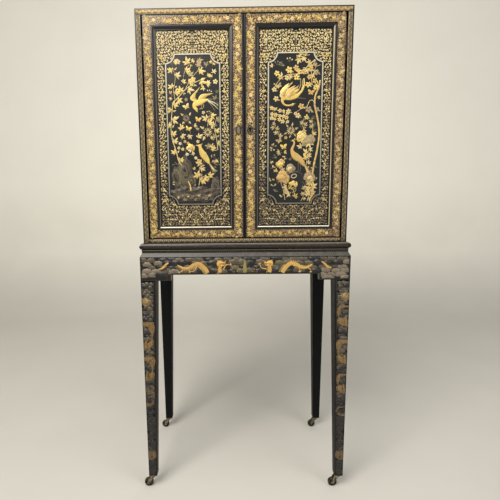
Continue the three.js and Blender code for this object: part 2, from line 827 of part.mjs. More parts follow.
function addDoorBolts(door) {
  const ends = { upper: [0, doorHeight], lower: [Math.PI, 0] };
  for (const [end, [turn, height]] of Object.entries(ends)) {
    const place = [-doorBoltFromEdge, doorBoltY, height];
    addPiece(door, `door_bolt_plate_${end}`, doorBoltPlate().rotateY(turn), brass, place);
    addPiece(door, `door_bolt_${end}`, doorBolt().rotateY(turn), brass, place);
  }
}

const leftDoor = makeDoor('left', -1);
const rightDoor = makeDoor('right', 1);
addDoorBolts(leftDoor);
addLock(rightDoor);

const cabinetOnStand = new THREE.Group();
cabinetOnStand.add(makeStand(), makeCabinet(), makeMoulding(), leftDoor, rightDoor);
cabinetOnStand.add(makeHinges('left', -1), makeHinges('right', 1));
cabinetOnStand.position.x = castorOverhang / 2;

export default cabinetOnStand;
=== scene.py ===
import json
from math import atan2, cos, hypot, pi, sin, tau
import random

import bpy
import numpy as np
from mathutils import Matrix, Vector

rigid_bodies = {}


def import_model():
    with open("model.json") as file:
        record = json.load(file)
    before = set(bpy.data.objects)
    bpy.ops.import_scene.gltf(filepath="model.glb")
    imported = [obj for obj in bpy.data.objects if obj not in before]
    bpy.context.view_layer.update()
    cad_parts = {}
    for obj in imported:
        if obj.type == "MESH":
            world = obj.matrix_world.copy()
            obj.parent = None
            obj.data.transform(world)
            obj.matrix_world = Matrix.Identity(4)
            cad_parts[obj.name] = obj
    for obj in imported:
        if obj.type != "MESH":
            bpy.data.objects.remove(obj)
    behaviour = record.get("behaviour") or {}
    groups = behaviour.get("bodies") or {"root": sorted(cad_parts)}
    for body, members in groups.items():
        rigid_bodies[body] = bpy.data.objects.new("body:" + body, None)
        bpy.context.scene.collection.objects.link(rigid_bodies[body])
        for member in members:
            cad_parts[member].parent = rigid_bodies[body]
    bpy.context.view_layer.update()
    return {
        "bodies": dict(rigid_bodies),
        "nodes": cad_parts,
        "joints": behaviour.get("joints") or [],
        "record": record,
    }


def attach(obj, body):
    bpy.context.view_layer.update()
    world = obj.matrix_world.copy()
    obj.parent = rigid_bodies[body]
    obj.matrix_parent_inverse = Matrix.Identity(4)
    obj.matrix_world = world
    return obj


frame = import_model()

mm = 0.001

# Places on the cabinet, in metres, as the CAD has them
cabinet = {
    "middle": 0.010,  # x of the cabinet's centre plane
    "halfBox": 0.337,  # from the centre plane to the cabinet's side
    "halfStand": 0.350,
    "escutcheonFront": -0.1785,
    "level": 0.014,  # z that heights in millimetres are measured from
    "front": -0.177,
    "standFront": -0.190,
    "doorFoot": 0.9155,
    "doorEdge": 0.001,  # from the centre plane to a door's meeting edge
    "panelFront": -0.168,
    "fieldFront": -0.1715,
    "panelMiddle": 0.1613,  # from the centre plane to the middle of a panel
    "panelHeight": 1.25915,  # z of the middle of a panel
}


# colours and shader helpers
def tint(red, green, blue):
    # 0 to 255 as seen on a screen, to what Blender's sockets take
    def toLinear(value):
        value /= 255
        return value / 12.92 if value <= 0.04045 else ((value + 0.055) / 1.055) ** 2.4
    return (toLinear(red), toLinear(green), toLinear(blue), 1.0)


def plug(tree, socket, value):
    # a link where the value comes from another node, else the number or colour itself
    if hasattr(value, "is_output"):
        tree.links.new(value, socket)
    else:
        socket.default_value = value


def addNode(tree, kind, **settings):
    node = tree.nodes.new(kind)
    for key, value in settings.items():
        if key.startswith("in_"):
            plug(tree, node.inputs[key[3:]], value)
        else:
            setattr(node, key, value)
    return node


def mathNode(tree, operation, *values, clamp=False):
    node = addNode(tree, "ShaderNodeMath", operation=operation, use_clamp=clamp)
    for index, value in enumerate(values):
        plug(tree, node.inputs[index], value)
    return node.outputs[0]


def times(tree, first, second, clamp=False):
    return mathNode(tree, "MULTIPLY", first, second, clamp=clamp)


def minus(tree, first, second):
    return mathNode(tree, "SUBTRACT", first, second)


def gap(tree, first, second):
    # how far two values are apart
    return mathNode(tree, "ABSOLUTE", minus(tree, first, second))


def mixNode(tree, factor, first, second, blend="MIX"):
    node = addNode(tree, "ShaderNodeMix", data_type="RGBA", blend_type=blend)
    for index, value in ((0, factor), (6, first), (7, second)):
        plug(tree, node.inputs[index], value)
    return node.outputs[2]


def rangeNode(tree, value, fromLow, fromHigh, toLow=0.0, toHigh=1.0):
    node = addNode(tree, "ShaderNodeMapRange")
    for index, number in enumerate((value, fromLow, fromHigh, toLow, toHigh)):
        plug(tree, node.inputs[index], number)
    return node.outputs[0]


surface = [("color", "color"), ("roughness", "value"), ("height", "value")]


def newGroup(name, inputs, outputs=surface):
    # inputs are (name, kind, default) and outputs (name, kind), of the kind color or value
    group = bpy.data.node_groups.new(name, "ShaderNodeTree")
    kinds = {"color": "NodeSocketColor", "value": "NodeSocketFloat"}
    for label, kind, default in inputs:
        socket = group.interface.new_socket(label, in_out="INPUT", socket_type=kinds[kind])
        socket.default_value = default
    for label, kind in outputs:
        group.interface.new_socket(label, in_out="OUTPUT", socket_type=kinds[kind])
    return group, group.nodes.new("NodeGroupInput").outputs, group.nodes.new("NodeGroupOutput")


def closeSurface(group, sink, color, rough, height):
    for label, value in (("color", color), ("roughness", rough), ("height", height)):
        group.links.new(value, sink.inputs[label])
    return group


def useGroup(tree, group, **values):
    node = addNode(tree, "ShaderNodeGroup", node_tree=group)
    for key, value in values.items():
        plug(tree, node.inputs[key], value)
    return node


def objectPlace(tree):
    return addNode(tree, "ShaderNodeTexCoord").outputs["Object"]


def noiseNode(tree, place, scale, detail=3.0, roughness=0.55, stretch=None):
    if stretch:
        mapping = addNode(tree, "ShaderNodeMapping", in_Vector=place, in_Scale=stretch)
        place = mapping.outputs[0]
    node = addNode(tree, "ShaderNodeTexNoise", in_Vector=place, in_Detail=detail, in_Roughness=roughness)
    plug(tree, node.inputs["Scale"], scale)
    return node.outputs[0]


# shader groups shared by several finishes
def makeWearGroup():
    # old lacquer: cloudy ground, fine scratches, rubbed patches and dust on what faces up
    group, source, sink = newGroup(
        "oldLacquer",
        [("ground", "color", tint(20, 19, 18)), ("rubbed", "color", tint(74, 62, 48)),
         ("dust", "color", tint(170, 164, 152)), ("grainScale", "value", 60.0),
         ("wear", "value", 0.3), ("dustAmount", "value", 0.3), ("gloss", "value", 0.3)],
    )
    place = objectPlace(group)
    cloud = noiseNode(group, place, source["grainScale"], 4.0)
    broad = noiseNode(group, place, 5.0, 2.0)
    scratch = noiseNode(group, place, 90.0, 2.0, 0.6, (1.0, 1.0, 0.06))
    speck = noiseNode(group, place, 900.0, 1.0)
    wearLimit = minus(group, 0.86, times(group, source["wear"], 0.3))
    patch = mathNode(group, "MULTIPLY_ADD", broad, 0.45, times(group, cloud, 0.6))
    rub = rangeNode(group, patch, wearLimit, mathNode(group, "ADD", wearLimit, 0.14))
    rub = times(group, rub, source["wear"], clamp=True)
    line = rangeNode(group, scratch, 0.64, 0.72, 0.0, 0.35)
    rub = mathNode(group, "MAXIMUM", rub, times(group, line, source["wear"]))
    color = mixNode(group, rub, source["ground"], source["rubbed"])
    facing = addNode(group, "ShaderNodeNewGeometry").outputs["Normal"]
    up = addNode(group, "ShaderNodeSeparateXYZ", in_Vector=facing).outputs["Z"]
    settled = rangeNode(group, up, 0.3, 0.95)
    settled = times(group, settled, source["dustAmount"])
    settled = times(group, settled, rangeNode(group, cloud, 0.3, 0.7, 0.5, 1.0))
    color = mixNode(group, settled, color, source["dust"])
    rough = mathNode(group, "MULTIPLY_ADD", cloud, 0.16, source["gloss"])
    rough = mathNode(group, "MULTIPLY_ADD", rub, 0.3, rough)
    rough = mathNode(group, "MULTIPLY_ADD", settled, 0.5, rough, clamp=True)
    height = mathNode(group, "MULTIPLY_ADD", speck, 0.25, times(group, cloud, 0.5))
    height = minus(group, height, line)
    return closeSurface(group, sink, color, rough, height)


def makeGiltGroup():
    # gold powder on lacquer: tone drifts from bright to red over the surface, thin where rubbed
    group, source, sink = newGroup(
        "giltPowder",
        [("gold", "color", tint(226, 180, 84)), ("redGold", "color", tint(196, 140, 92)),
         ("thin", "color", tint(70, 55, 36)), ("drift", "value", 0.4), ("rub", "value", 0.35),
         ("grainScale", "value", 500.0)],
    )
    place = objectPlace(group)
    broad = noiseNode(group, place, 9.0, 3.0, 0.6)
    fine = noiseNode(group, place, 160.0, 3.0, 0.65)
    grain = noiseNode(group, place, source["grainScale"], 2.0, 0.6)
    red = rangeNode(group, broad, 0.42, 0.68)
    red = times(group, red, source["drift"])
    color = mixNode(group, red, source["gold"], source["redGold"])
    worn = rangeNode(group, mathNode(group, "MULTIPLY_ADD", grain, 0.4, times(group, fine, 0.6)),
                     0.5, 0.72)
    worn = times(group, worn, source["rub"])
    color = mixNode(group, worn, color, source["thin"])
    rough = mathNode(group, "MULTIPLY_ADD", grain, 0.25, 0.3)
    return closeSurface(group, sink, color, rough, grain)


def makeBandGroup():
    # 1 between low and high, 0 outside them
    group, source, sink = newGroup(
        "bandMask",
        [("value", "value", 0.0), ("low", "value", 0.0), ("high", "value", 1.0)],
        [("mask", "value")],
    )
    above = mathNode(group, "GREATER_THAN", source["value"], source["low"])
    below = mathNode(group, "LESS_THAN", source["value"], source["high"])
    group.links.new(times(group, above, below), sink.inputs["mask"])
    return group


def makePatinaGroup():
    # brass handled for years: bright where rubbed, brown and dull in between
    group, source, sink = newGroup(
        "metalPatina",
        [("metal", "color", tint(206, 168, 96)), ("tarnish", "color", tint(92, 68, 38)),
         ("amount", "value", 0.5), ("grainScale", "value", 140.0)],
    )
    place = objectPlace(group)
    cloud = noiseNode(group, place, source["grainScale"], 4.0, 0.6)
    fine = noiseNode(group, place, 900.0, 2.0)
    dull = times(group, rangeNode(group, cloud, 0.38, 0.66), source["amount"])
    color = mixNode(group, dull, source["metal"], source["tarnish"])
    rough = mathNode(group, "MULTIPLY_ADD", dull, 0.4, mathNode(group, "MULTIPLY_ADD", fine, 0.2, 0.2))
    return closeSurface(group, sink, color, rough, cloud)


def makeGrainGroup():
    # straight wood grain along X with darker pores
    group, source, sink = newGroup(
        "woodGrain",
        [("light", "color", tint(120, 84, 54)), ("dark", "color", tint(70, 44, 28)),
         ("grainScale", "value", 26.0)],
    )
    place = objectPlace(group)
    rings = noiseNode(group, place, source["grainScale"], 4.0, 0.6, (0.08, 1.0, 1.0))
    pores = noiseNode(group, place, 420.0, 2.0, 0.6, (0.05, 1.0, 1.0))
    color = mixNode(group, rangeNode(group, rings, 0.35, 0.65), source["light"], source["dark"])
    color = mixNode(group, rangeNode(group, pores, 0.55, 0.75, 0.0, 0.5), color, source["dark"])
    rough = mathNode(group, "MULTIPLY_ADD", rings, 0.2, 0.45)
    return closeSurface(group, sink, color, rough, pores)


oldLacquer = makeWearGroup()
giltPowder = makeGiltGroup()
bandMask = makeBandGroup()
metalPatina = makePatinaGroup()
woodGrain = makeGrainGroup()
print("shader groups made")


def newThing(name, data):
    thing = bpy.data.objects.new(name, data)
    bpy.context.scene.collection.objects.link(thing)
    return thing


def newFinish(name, slot):
    material = bpy.data.materials.new(name)
    material.use_nodes = True
    tree = material.node_tree
    shader = tree.nodes["Principled BSDF"]
    material["finishSlot"] = slot
    return material, tree, shader


def wire(tree, shader, color, rough, height, depth, strength):
    tree.links.new(color, shader.inputs["Base Color"])
    tree.links.new(rough, shader.inputs["Roughness"])
    bump = addNode(tree, "ShaderNodeBump", in_Strength=strength, in_Distance=depth, in_Height=height)
    tree.links.new(bump.outputs[0], shader.inputs["Normal"])


def connect(tree, shader, group, depth, strength=0.6):
    wire(tree, shader, *group.outputs.values(), depth, strength)


def setCoat(shader, weight, rough):
    shader.inputs["Coat Weight"].default_value = weight
    shader.inputs["Coat Roughness"].default_value = rough


def splitPlace(tree):
    node = addNode(tree, "ShaderNodeSeparateXYZ", in_Vector=objectPlace(tree))
    return node.outputs["X"], node.outputs["Y"], node.outputs["Z"]


def band(tree, value, low, high):
    return useGroup(tree, bandMask, value=value, low=low, high=high).outputs["mask"]


lacquerLook = {
    "ground": tint(24, 23, 22),
    "rubbed": tint(96, 80, 60),
    "dust": tint(176, 170, 160),
    "wear": 0.35,
    "dustAmount": 0.35,
    "gloss": 0.24,
}


def makeLacquer(name, slot="lacquer", shine=0.35, coat=0.1, **changes):
    look = {**lacquerLook, **changes}
    material, tree, shader = newFinish(name, slot)
    connect(tree, shader, useGroup(tree, oldLacquer, **look), 0.0002)
    setCoat(shader, coat, 0.18)
    shader.inputs["Specular IOR Level"].default_value = shine
    return material


frameLook = {
    "dot": 430.0,  # filler dots to the metre
    "dotGold": tint(206, 178, 118),
    "dotRed": tint(142, 106, 72),
    "fill": 0.5,
    # the moulding worked on the frame's inner edge, measured from the panel's middle
    "halfWidth": 0.127,
    "halfHeight": 0.31755,
    "line": (0.0082, 0.0104),  # where a gilt line runs on it, measured in from its outer edge
    "lineGold": tint(250, 242, 214),  # along the foot of the panel: a painted highlight, where the line faces the lamp above
    "lineDull": tint(112, 100, 82),  # up its sides: painted shade, a duller line; along the head it is left out, as the head lies in shade
    "lineTan": tint(196, 178, 138),  # up the right door's hinge side: a tan painted highlight
}


def makeFrameLacquer():
    # the doors' frames: lacquer with a fine filler of gilt dots on the front face alone
    material, tree, shader = newFinish("frameLacquer", "gilded_lacquer")
    lacquer = useGroup(tree, oldLacquer, **lacquerLook)
    across, depth, up = splitPlace(tree)
    fromMiddle = gap(tree, across, cabinet["middle"])
    mask = band(tree, depth, -0.2, cabinet["front"] + 0.0002)
    mask = times(tree, mask, band(tree, fromMiddle, 0.0066, 0.3136))
    mask = times(tree, mask, band(tree, up, 0.9166, 1.6030))
    cell = addNode(tree, "ShaderNodeTexVoronoi", in_Vector=objectPlace(tree), in_Scale=frameLook["dot"])
    dots = mathNode(tree, "LESS_THAN", cell.outputs["Distance"], frameLook["fill"])
    pick = addNode(tree, "ShaderNodeSeparateXYZ", in_Vector=cell.outputs["Color"]).outputs["X"]
    gold = mixNode(tree, rangeNode(tree, pick, 0.2, 0.8), frameLook["dotGold"], frameLook["dotRed"])
    gilt = useGroup(tree, giltPowder, gold=gold, redGold=frameLook["dotRed"], drift=0.6, rub=0.3)
    cover = times(tree, dots, mask)
    color = mixNode(tree, cover, lacquer.outputs["color"], gilt.outputs["color"])
    sideways = gap(tree, fromMiddle, cabinet["panelMiddle"])
    upwards = gap(tree, up, cabinet["panelHeight"])
    inward = mathNode(tree, "MINIMUM", minus(tree, frameLook["halfWidth"], sideways),
                      minus(tree, frameLook["halfHeight"], upwards))
    # the gilt line on the sticking is painted lit and shaded by where it runs: painted highlight along the foot and up
    # the right hinge side, painted shade up the other sides, none along the shaded head
    line = band(tree, inward, *frameLook["line"])
    line = times(tree, line, band(tree, depth, -0.2, -0.168))
    onRail = mathNode(tree, "LESS_THAN", minus(tree, frameLook["halfHeight"], upwards),
                      minus(tree, frameLook["halfWidth"], sideways))
    onFoot = times(tree, onRail, mathNode(tree, "LESS_THAN", up, cabinet["panelHeight"]))
    onHead = minus(tree, onRail, onFoot)
    line = times(tree, line, minus(tree, 1.0, onHead))
    # bright is the foot line's painted highlight, dull the side lines' painted shade
    bright = useGroup(tree, giltPowder, gold=frameLook["lineGold"], redGold=frameLook["lineGold"], drift=0.2, rub=0.2)
    onHinge = mathNode(tree, "GREATER_THAN", across, cabinet["middle"] + cabinet["panelMiddle"])
    sideLineShading = mixNode(tree, onHinge, frameLook["lineDull"], frameLook["lineTan"])
    dull = useGroup(tree, giltPowder, gold=sideLineShading, redGold=sideLineShading, drift=0.2, rub=0.5)
    color = mixNode(tree, line, color, mixNode(tree, onFoot, dull.outputs["color"], bright.outputs["color"]))
    rough = mathNode(tree, "MULTIPLY_ADD", cover, 0.15, lacquer.outputs["roughness"])
    height = mathNode(tree, "MULTIPLY_ADD", cover, 1.2, lacquer.outputs["height"])
    wire(tree, shader, color, rough, height, 0.0002, 0.6)
    setCoat(shader, 0.2, 0.2)
    return material


fieldLook = {
    # the border's gilt line at its head, lit as a painted highlight, and at its foot, in painted shade
    "borderHead": tint(204, 196, 172),
    "borderFoot": tint(120, 118, 108),
    "borderFront": -0.1722,  # what stands further out than this is the border
}


def makeCartoucheLacquer():
    material, tree, shader = newFinish("fieldLacquer", "cartouche_lacquer")
    lacquer = useGroup(tree, oldLacquer, **{**lacquerLook, "ground": tint(27, 29, 28), "wear": 0.3})
    depth = splitPlace(tree)[1]
    border = band(tree, depth, -0.2, fieldLook["borderFront"])
    # the border line runs from painted shade at its foot to a painted highlight at its head, as if lit from above
    rise = rangeNode(tree, splitPlace(tree)[2], cabinet["panelHeight"] - 0.2, cabinet["panelHeight"] + 0.2)
    gold = mixNode(tree, rise, fieldLook["borderFoot"], fieldLook["borderHead"])
    line = useGroup(tree, giltPowder, gold=gold, redGold=gold, thin=fieldLook["borderFoot"], drift=0.0, rub=0.7)
    color = mixNode(tree, border, lacquer.outputs["color"], line.outputs["color"])
    wire(tree, shader, color, lacquer.outputs["roughness"], lacquer.outputs["height"], 0.0002, 0.5)
    setCoat(shader, 0.2, 0.2)
    return material


# name: (gold, redder gold, thin, drift, rub, metallic)
giltTones = {
    "brightGold": ((232, 202, 108), (214, 178, 100), (150, 118, 64), 0.5, 0.35, 0.15),
    "paleGold": ((226, 202, 138), (202, 172, 126), (136, 114, 76), 0.4, 0.4, 0.1),
    "redGold": ((210, 174, 100), (188, 146, 88), (116, 84, 58), 0.6, 0.45, 0.1),
    "cream": ((232, 220, 182), (212, 192, 154), (150, 134, 104), 0.3, 0.3, 0.05),
    "dullGold": ((166, 146, 104), (156, 126, 96), (92, 78, 54), 0.5, 0.5, 0.1),
    "straw": ((240, 220, 162), (226, 190, 120), (170, 146, 100), 0.4, 0.3, 0.05),
    "greyGold": ((128, 116, 96), (120, 102, 86), (64, 56, 46), 0.5, 0.5, 0.05),
    "olive": ((98, 92, 62), (96, 76, 56), (48, 43, 32), 0.6, 0.55, 0.05),
    "umber": ((72, 65, 51), (66, 53, 44), (34, 30, 24), 0.5, 0.6, 0.05),
    "moss": ((152, 146, 80), (146, 126, 80), (66, 60, 38), 0.6, 0.5, 0.05),
    "dragonGold": ((226, 176, 88), (204, 150, 74), (130, 94, 50), 0.5, 0.4, 0.12),
    # the pale grey of the painted highlight along the top of the foot moulding
    "ashGrey": ((176, 170, 156), (160, 152, 138), (92, 86, 76), 0.3, 0.5, 0.0),
    "bronze": ((136, 108, 62), (118, 90, 54), (70, 54, 34), 0.6, 0.45, 0.1),
    "copper": ((176, 136, 92), (152, 114, 80), (92, 68, 48), 0.6, 0.45, 0.1),
    "rust": ((106, 82, 52), (92, 68, 46), (52, 40, 30), 0.5, 0.5, 0.05),
    "screwBrass": ((176, 148, 92), (132, 106, 64), (84, 66, 42), 0.5, 0.5, 0.9),
    "cloudGrey": ((90, 80, 60), (84, 70, 52), (44, 39, 32), 0.6, 0.6, 0.0),
    "inkLine": ((26, 24, 22), (32, 27, 23), (48, 40, 32), 0.4, 0.4, 0.0),
}
toneOrder = list(giltTones)
bright, pale, red, cream, dull, straw, grey, olive, umber, moss = toneOrder[:10]
dragonGold, paintedHighlight, bronze, copper, rust, screwBrass, cloud, ink = toneOrder[10:]
toneFinishes = {}
for toneName, (gold, redder, thin, drift, rub, metallic) in giltTones.items():
    material, tree, shader = newFinish(toneName, "gilded_lacquer")
    group = useGroup(tree, giltPowder, gold=tint(*gold), redGold=tint(*redder), thin=tint(*thin), drift=drift, rub=rub)
    connect(tree, shader, group, 0.0001, 0.5)
    shader.inputs["Metallic"].default_value = metallic
    toneFinishes[toneName] = material


def makeMetal(name, slot, metal, tarnish, amount, metallic=1.0):
    material, tree, shader = newFinish(name, slot)
    connect(tree, shader, useGroup(tree, metalPatina, metal=tint(*metal), tarnish=tint(*tarnish), amount=amount),
            0.0001)
    shader.inputs["Metallic"].default_value = metallic
    return material


def makeWood():
    material, tree, shader = newFinish("insideWood", "inside_wood")
    connect(tree, shader, useGroup(tree, woodGrain, light=tint(118, 80, 52), dark=tint(70, 42, 28)), 0.0003, 0.5)
    return material


finishes = {
    "lacquer": makeLacquer("blackLacquer"),
    "gilded_lacquer": makeFrameLacquer(),
    "panel": makeLacquer("panelLacquer", "gilded_lacquer", ground=tint(26, 24, 22), wear=0.2),
    "cartouche_lacquer": makeCartoucheLacquer(),
    "stand": makeLacquer("standLacquer", wear=0.5, ground=tint(30, 28, 26), dustAmount=0.75, gloss=0.3),
    "leg": makeLacquer("legLacquer", shine=0.12, coat=0.0, wear=0.15, ground=tint(13, 14, 16), dustAmount=0.1,
                       gloss=0.4),
    "moulding": makeLacquer("mouldingLacquer", wear=0.3, ground=tint(18, 16, 14), dustAmount=0.25, gloss=0.16),
    "inside_wood": makeWood(),
    "brass": makeMetal("agedBrass", "brass", (214, 178, 106), (110, 82, 46), 0.55),
    "castor": makeMetal("castorBrass", "brass", (168, 158, 136), (20, 18, 16), 0.95),
    "wheel": makeMetal("wheelBrass", "brass", (96, 86, 70), (18, 16, 14), 1.0),
    "escutcheon": makeMetal("escutcheonBrass", "brass", (178, 166, 140), (64, 54, 42), 0.7),
    "inner": makeLacquer("innerLacquer", wear=0.4, dustAmount=0.08),
    "dark_brass": makeMetal("darkBrass", "dark_brass", (66, 52, 36), (30, 25, 20), 0.8, 0.7),
    "steel": makeMetal("ironBolt", "steel", (120, 116, 110), (60, 48, 40), 0.6),
}
for name, node in frame["nodes"].items():
    slots = [material.name for material in node.data.materials if material]
    key = next((slot for slot in finishes if slots and slots[0].split(".")[0] == slot), "lacquer")
    if name.endswith("_door_panel"):
        key = "panel"
    elif name.startswith("stand_top") or name.startswith("apron"):
        key = "stand"
    elif name.startswith("leg"):
        key = "leg"
    elif name.startswith("base_moulding"):
        key = "moulding"
    elif name == "cabinet_floor":
        key = "inner"
    elif name.startswith("castor"):
        key = "wheel" if "wheel" in name else "castor"
    elif name.endswith("escutcheon"):
        key = "escutcheon"
    for index in range(len(node.data.materials)):
        node.data.materials[index] = finishes[key]
print("finishes given to the CAD nodes")


# raised gilt ornament: drawn flat in millimetres as (u, v), then laid on a face
def newRelief(seed):
    return {"points": [], "loops": [], "sizes": [], "tones": [], "count": 0,
            "random": random.Random(seed), "numbers": np.random.default_rng(seed)}


def storeFaces(gilt, points, rings, tone):
    # rings is a list of integer arrays (faces, corners) into points
    for ring in rings:
        gilt["loops"].append((ring + gilt["count"]).ravel())
        gilt["sizes"].append(np.full(len(ring), ring.shape[1]))
        gilt["tones"].append(np.full(len(ring), toneOrder.index(tone)))
    gilt["points"].append(points)
    gilt["count"] += len(points)


def addShapes(gilt, outlines, tone, top=0.3, crown=0.8, sink=0.08):
    # closed outlines (n, k, 2), each a low block with its edges sloping in to the top
    outlines = np.asarray(outlines, float)
    if outlines.ndim == 2:
        outlines = outlines[None]
    if not outlines.size:
        return
    following = np.roll(outlines, -1, axis=1)
    area = (outlines[..., 0] * following[..., 1] - following[..., 0] * outlines[..., 1]).sum(1)
    outlines = np.where((area < 0)[:, None, None], outlines[:, ::-1], outlines)
    count, corners, _ = outlines.shape
    middle = outlines.mean(1, keepdims=True)
    inner = middle + (outlines - middle) * crown
    lift = top + gilt["numbers"].uniform(0, 0.05, (count, 1, 1))
    foot = np.concatenate([outlines, np.full((count, corners, 1), -sink)], 2).reshape(-1, 3)
    crest = np.concatenate([inner, np.broadcast_to(lift, (count, corners, 1))], 2).reshape(-1, 3)
    ring = np.arange(corners)
    low = np.arange(count)[:, None] * corners + ring
    lowNext = np.arange(count)[:, None] * corners + np.roll(ring, -1)
    high = count * corners
    sides = np.stack([low, lowNext, lowNext + high, low + high], -1).reshape(-1, 4)
    storeFaces(gilt, np.concatenate([foot, crest]), [low + high, low[:, ::-1], sides], tone)


def addRibbons(gilt, paths, widths, tone, top=0.3, crown=0.6, sink=0.08):
    # strokes of changing width along paths (n, m, 2)
    paths = np.asarray(paths, float)
    if paths.ndim == 2:
        paths = paths[None]
    count, steps, _ = paths.shape
    widths = np.broadcast_to(np.asarray(widths, float), (count, steps))[..., None] / 2
    along = np.gradient(paths, axis=1)
    along /= np.maximum(np.linalg.norm(along, axis=2, keepdims=True), 1e-9)
    across = np.stack([-along[..., 1], along[..., 0]], -1)
    lift = top + gilt["numbers"].uniform(0, 0.05, (count, 1, 1))

    def edge(side, share, level):
        flat = paths + across * widths * side * share
        return np.concatenate([flat, np.broadcast_to(level, (count, steps, 1))], 2)
    points = np.stack([edge(1, 1, -sink), edge(-1, 1, -sink), edge(1, crown, lift), edge(-1, crown, lift)], 1)
    base = np.arange(count)[:, None] * 4 * steps + np.arange(steps - 1)
    left, right, leftTop, rightTop = (base + steps * i for i in range(4))
    rings = [np.stack(quad, -1).reshape(-1, 4) for quad in (
        (rightTop, rightTop + 1, leftTop + 1, leftTop), (left, left + 1, right + 1, right),
        (leftTop, leftTop + 1, left + 1, left), (right, right + 1, rightTop + 1, rightTop))]
    first = np.arange(count) * 4 * steps
    last = first + steps - 1
    rings.append(np.stack([first, first + steps, first + 3 * steps, first + 2 * steps], -1))
    rings.append(np.stack([last + steps, last, last + 2 * steps, last + 3 * steps], -1))
    storeFaces(gilt, points.reshape(-1, 3), rings, tone)


def addStroke(gilt, path, widths, tone, top):
    # a single stroke, from its first width by its middle one to its last
    addRibbons(gilt, path, taper(len(path), *widths), tone, top)


def addLine(gilt, start, end, width, tone, top, bend=(0, 0)):
    addRibbons(gilt, [start, (np.array(start) + end) / 2 + bend, end], width, tone, top)


def flatFace(origin, right, out, up=(0, 0, 1)):
    # a face to draw on: its origin, its u and v directions and its normal
    origin, right, up, out = (np.array(part, float) for part in (origin, right, up, out))

    def place(points):
        return origin + points[:, :1] * mm * right + points[:, 1:2] * mm * up + points[:, 2:] * mm * out
    place.turned = float(np.dot(np.cross(right, up), out)) < 0
    return place


def frontFace(across, depth, height=cabinet["level"], hand=1):
    # seen from the front, measured from the cabinet's centre plane; hand -1 draws towards the left
    return flatFace((cabinet["middle"] + across, depth, height), (hand, 0, 0), (0, -1, 0))


def flankFace(hand, reach, depth=0, height=cabinet["level"]):
    # seen from the left (hand -1) or the right (hand 1)
    return flatFace((cabinet["middle"] + hand * reach, depth, height), (0, hand, 0), (hand, 0, 0))


def layRelief(gilt, name, place, body="cabinet"):
    points = np.concatenate(gilt["points"])
    loops = np.concatenate(gilt["loops"])
    sizes = np.concatenate(gilt["sizes"])
    starts = np.concatenate([[0], np.cumsum(sizes)[:-1]])
    if place.turned:
        owner = np.repeat(np.arange(len(sizes)), sizes)
        within = np.arange(len(loops)) - starts[owner]
        loops = loops[starts[owner] + sizes[owner] - 1 - within]
    mesh = bpy.data.meshes.new(name)
    mesh.vertices.add(len(points))
    mesh.vertices.foreach_set("co", place(points).astype(np.float32).ravel())
    mesh.loops.add(len(loops))
    mesh.loops.foreach_set("vertex_index", loops.astype(np.int32))
    mesh.polygons.add(len(sizes))
    mesh.polygons.foreach_set("loop_start", starts.astype(np.int32))
    mesh.polygons.foreach_set("material_index", np.concatenate(gilt["tones"]).astype(np.int32))
    mesh.update(calc_edges=True)
    mesh.validate()
    low = points.min(0)
    extent = max((points.max(0) - low)[:2])
    flat = (points[loops][:, :2] - low[:2]) / extent * 0.98 + 0.01
    layer = mesh.uv_layers.new(name="OFBake")
    if len(layer.data) == len(flat):
        layer.data.foreach_set("uv", flat.astype(np.float32).ravel())
    for tone in toneOrder:
        mesh.materials.append(toneFinishes[tone])
    piece = newThing(name, mesh)
    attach(piece, body)
    return piece


# the drawing hand: leaves, blossoms, curls, birds and clouds
def keepWithin(gilt, across, up):
    # draws in what reaches past a face's edges
    lows, highs = (across[0], up[0], -9.0), (across[1], up[1], 9.0)
    gilt["points"] = [np.clip(part, lows, highs) for part in gilt["points"]]


def circle(count, closed=True):
    # points of a round; a closed one comes back to its start
    angles = np.linspace(0, tau, count) if closed else np.arange(count) * tau / count
    return np.stack([np.cos(angles), np.sin(angles)], -1)


def turned(points, angle):
    cosine, sine = cos(angle), sin(angle)
    points = np.asarray(points, float)
    return points @ np.array([[cosine, sine], [-sine, cosine]])


def stepOff(spot, reach, angle):
    return np.array(spot, float) + turned([(reach, 0)], angle)[0]


def fuller(shape, share):
    return [(x, y * share) for x, y in shape]


def stamped(shape, spots, angles, sizes):
    # copies of a flat shape, one at each spot
    shape = np.asarray(shape, float)
    spots = np.asarray(spots, float).reshape(-1, 2)
    angles = np.broadcast_to(np.asarray(angles, float), (len(spots),))
    sizes = np.broadcast_to(np.asarray(sizes, float), (len(spots),))
    cosine, sine = (np.cos(angles) * sizes)[:, None], (np.sin(angles) * sizes)[:, None]
    across = shape[:, 0] * cosine - shape[:, 1] * sine
    up = shape[:, 0] * sine + shape[:, 1] * cosine
    return np.stack([across, up], -1) + spots[:, None]


def smooth(knots, steps=5):
    # a rounded path through the knots
    knots = [np.array(knot, float) for knot in knots]
    padded = [2 * knots[0] - knots[1], *knots, 2 * knots[-1] - knots[-2]]
    path = []
    for a, b, c, d in zip(padded, padded[1:], padded[2:], padded[3:]):
        for i in range(steps):
            t = i / steps
            path.append(0.5 * (2 * b + (c - a) * t + (2 * a - 5 * b + 4 * c - d) * t * t
                               + (3 * b - a - 3 * c + d) * t ** 3))
    path.append(knots[-1])
    return np.array(path)


def taper(steps, start, middle, end):
    # widths along a stroke
    share = np.linspace(0, 1, steps)
    return np.where(share < 0.5, start + (middle - start) * share * 2, middle + (end - middle) * (share * 2 - 1))


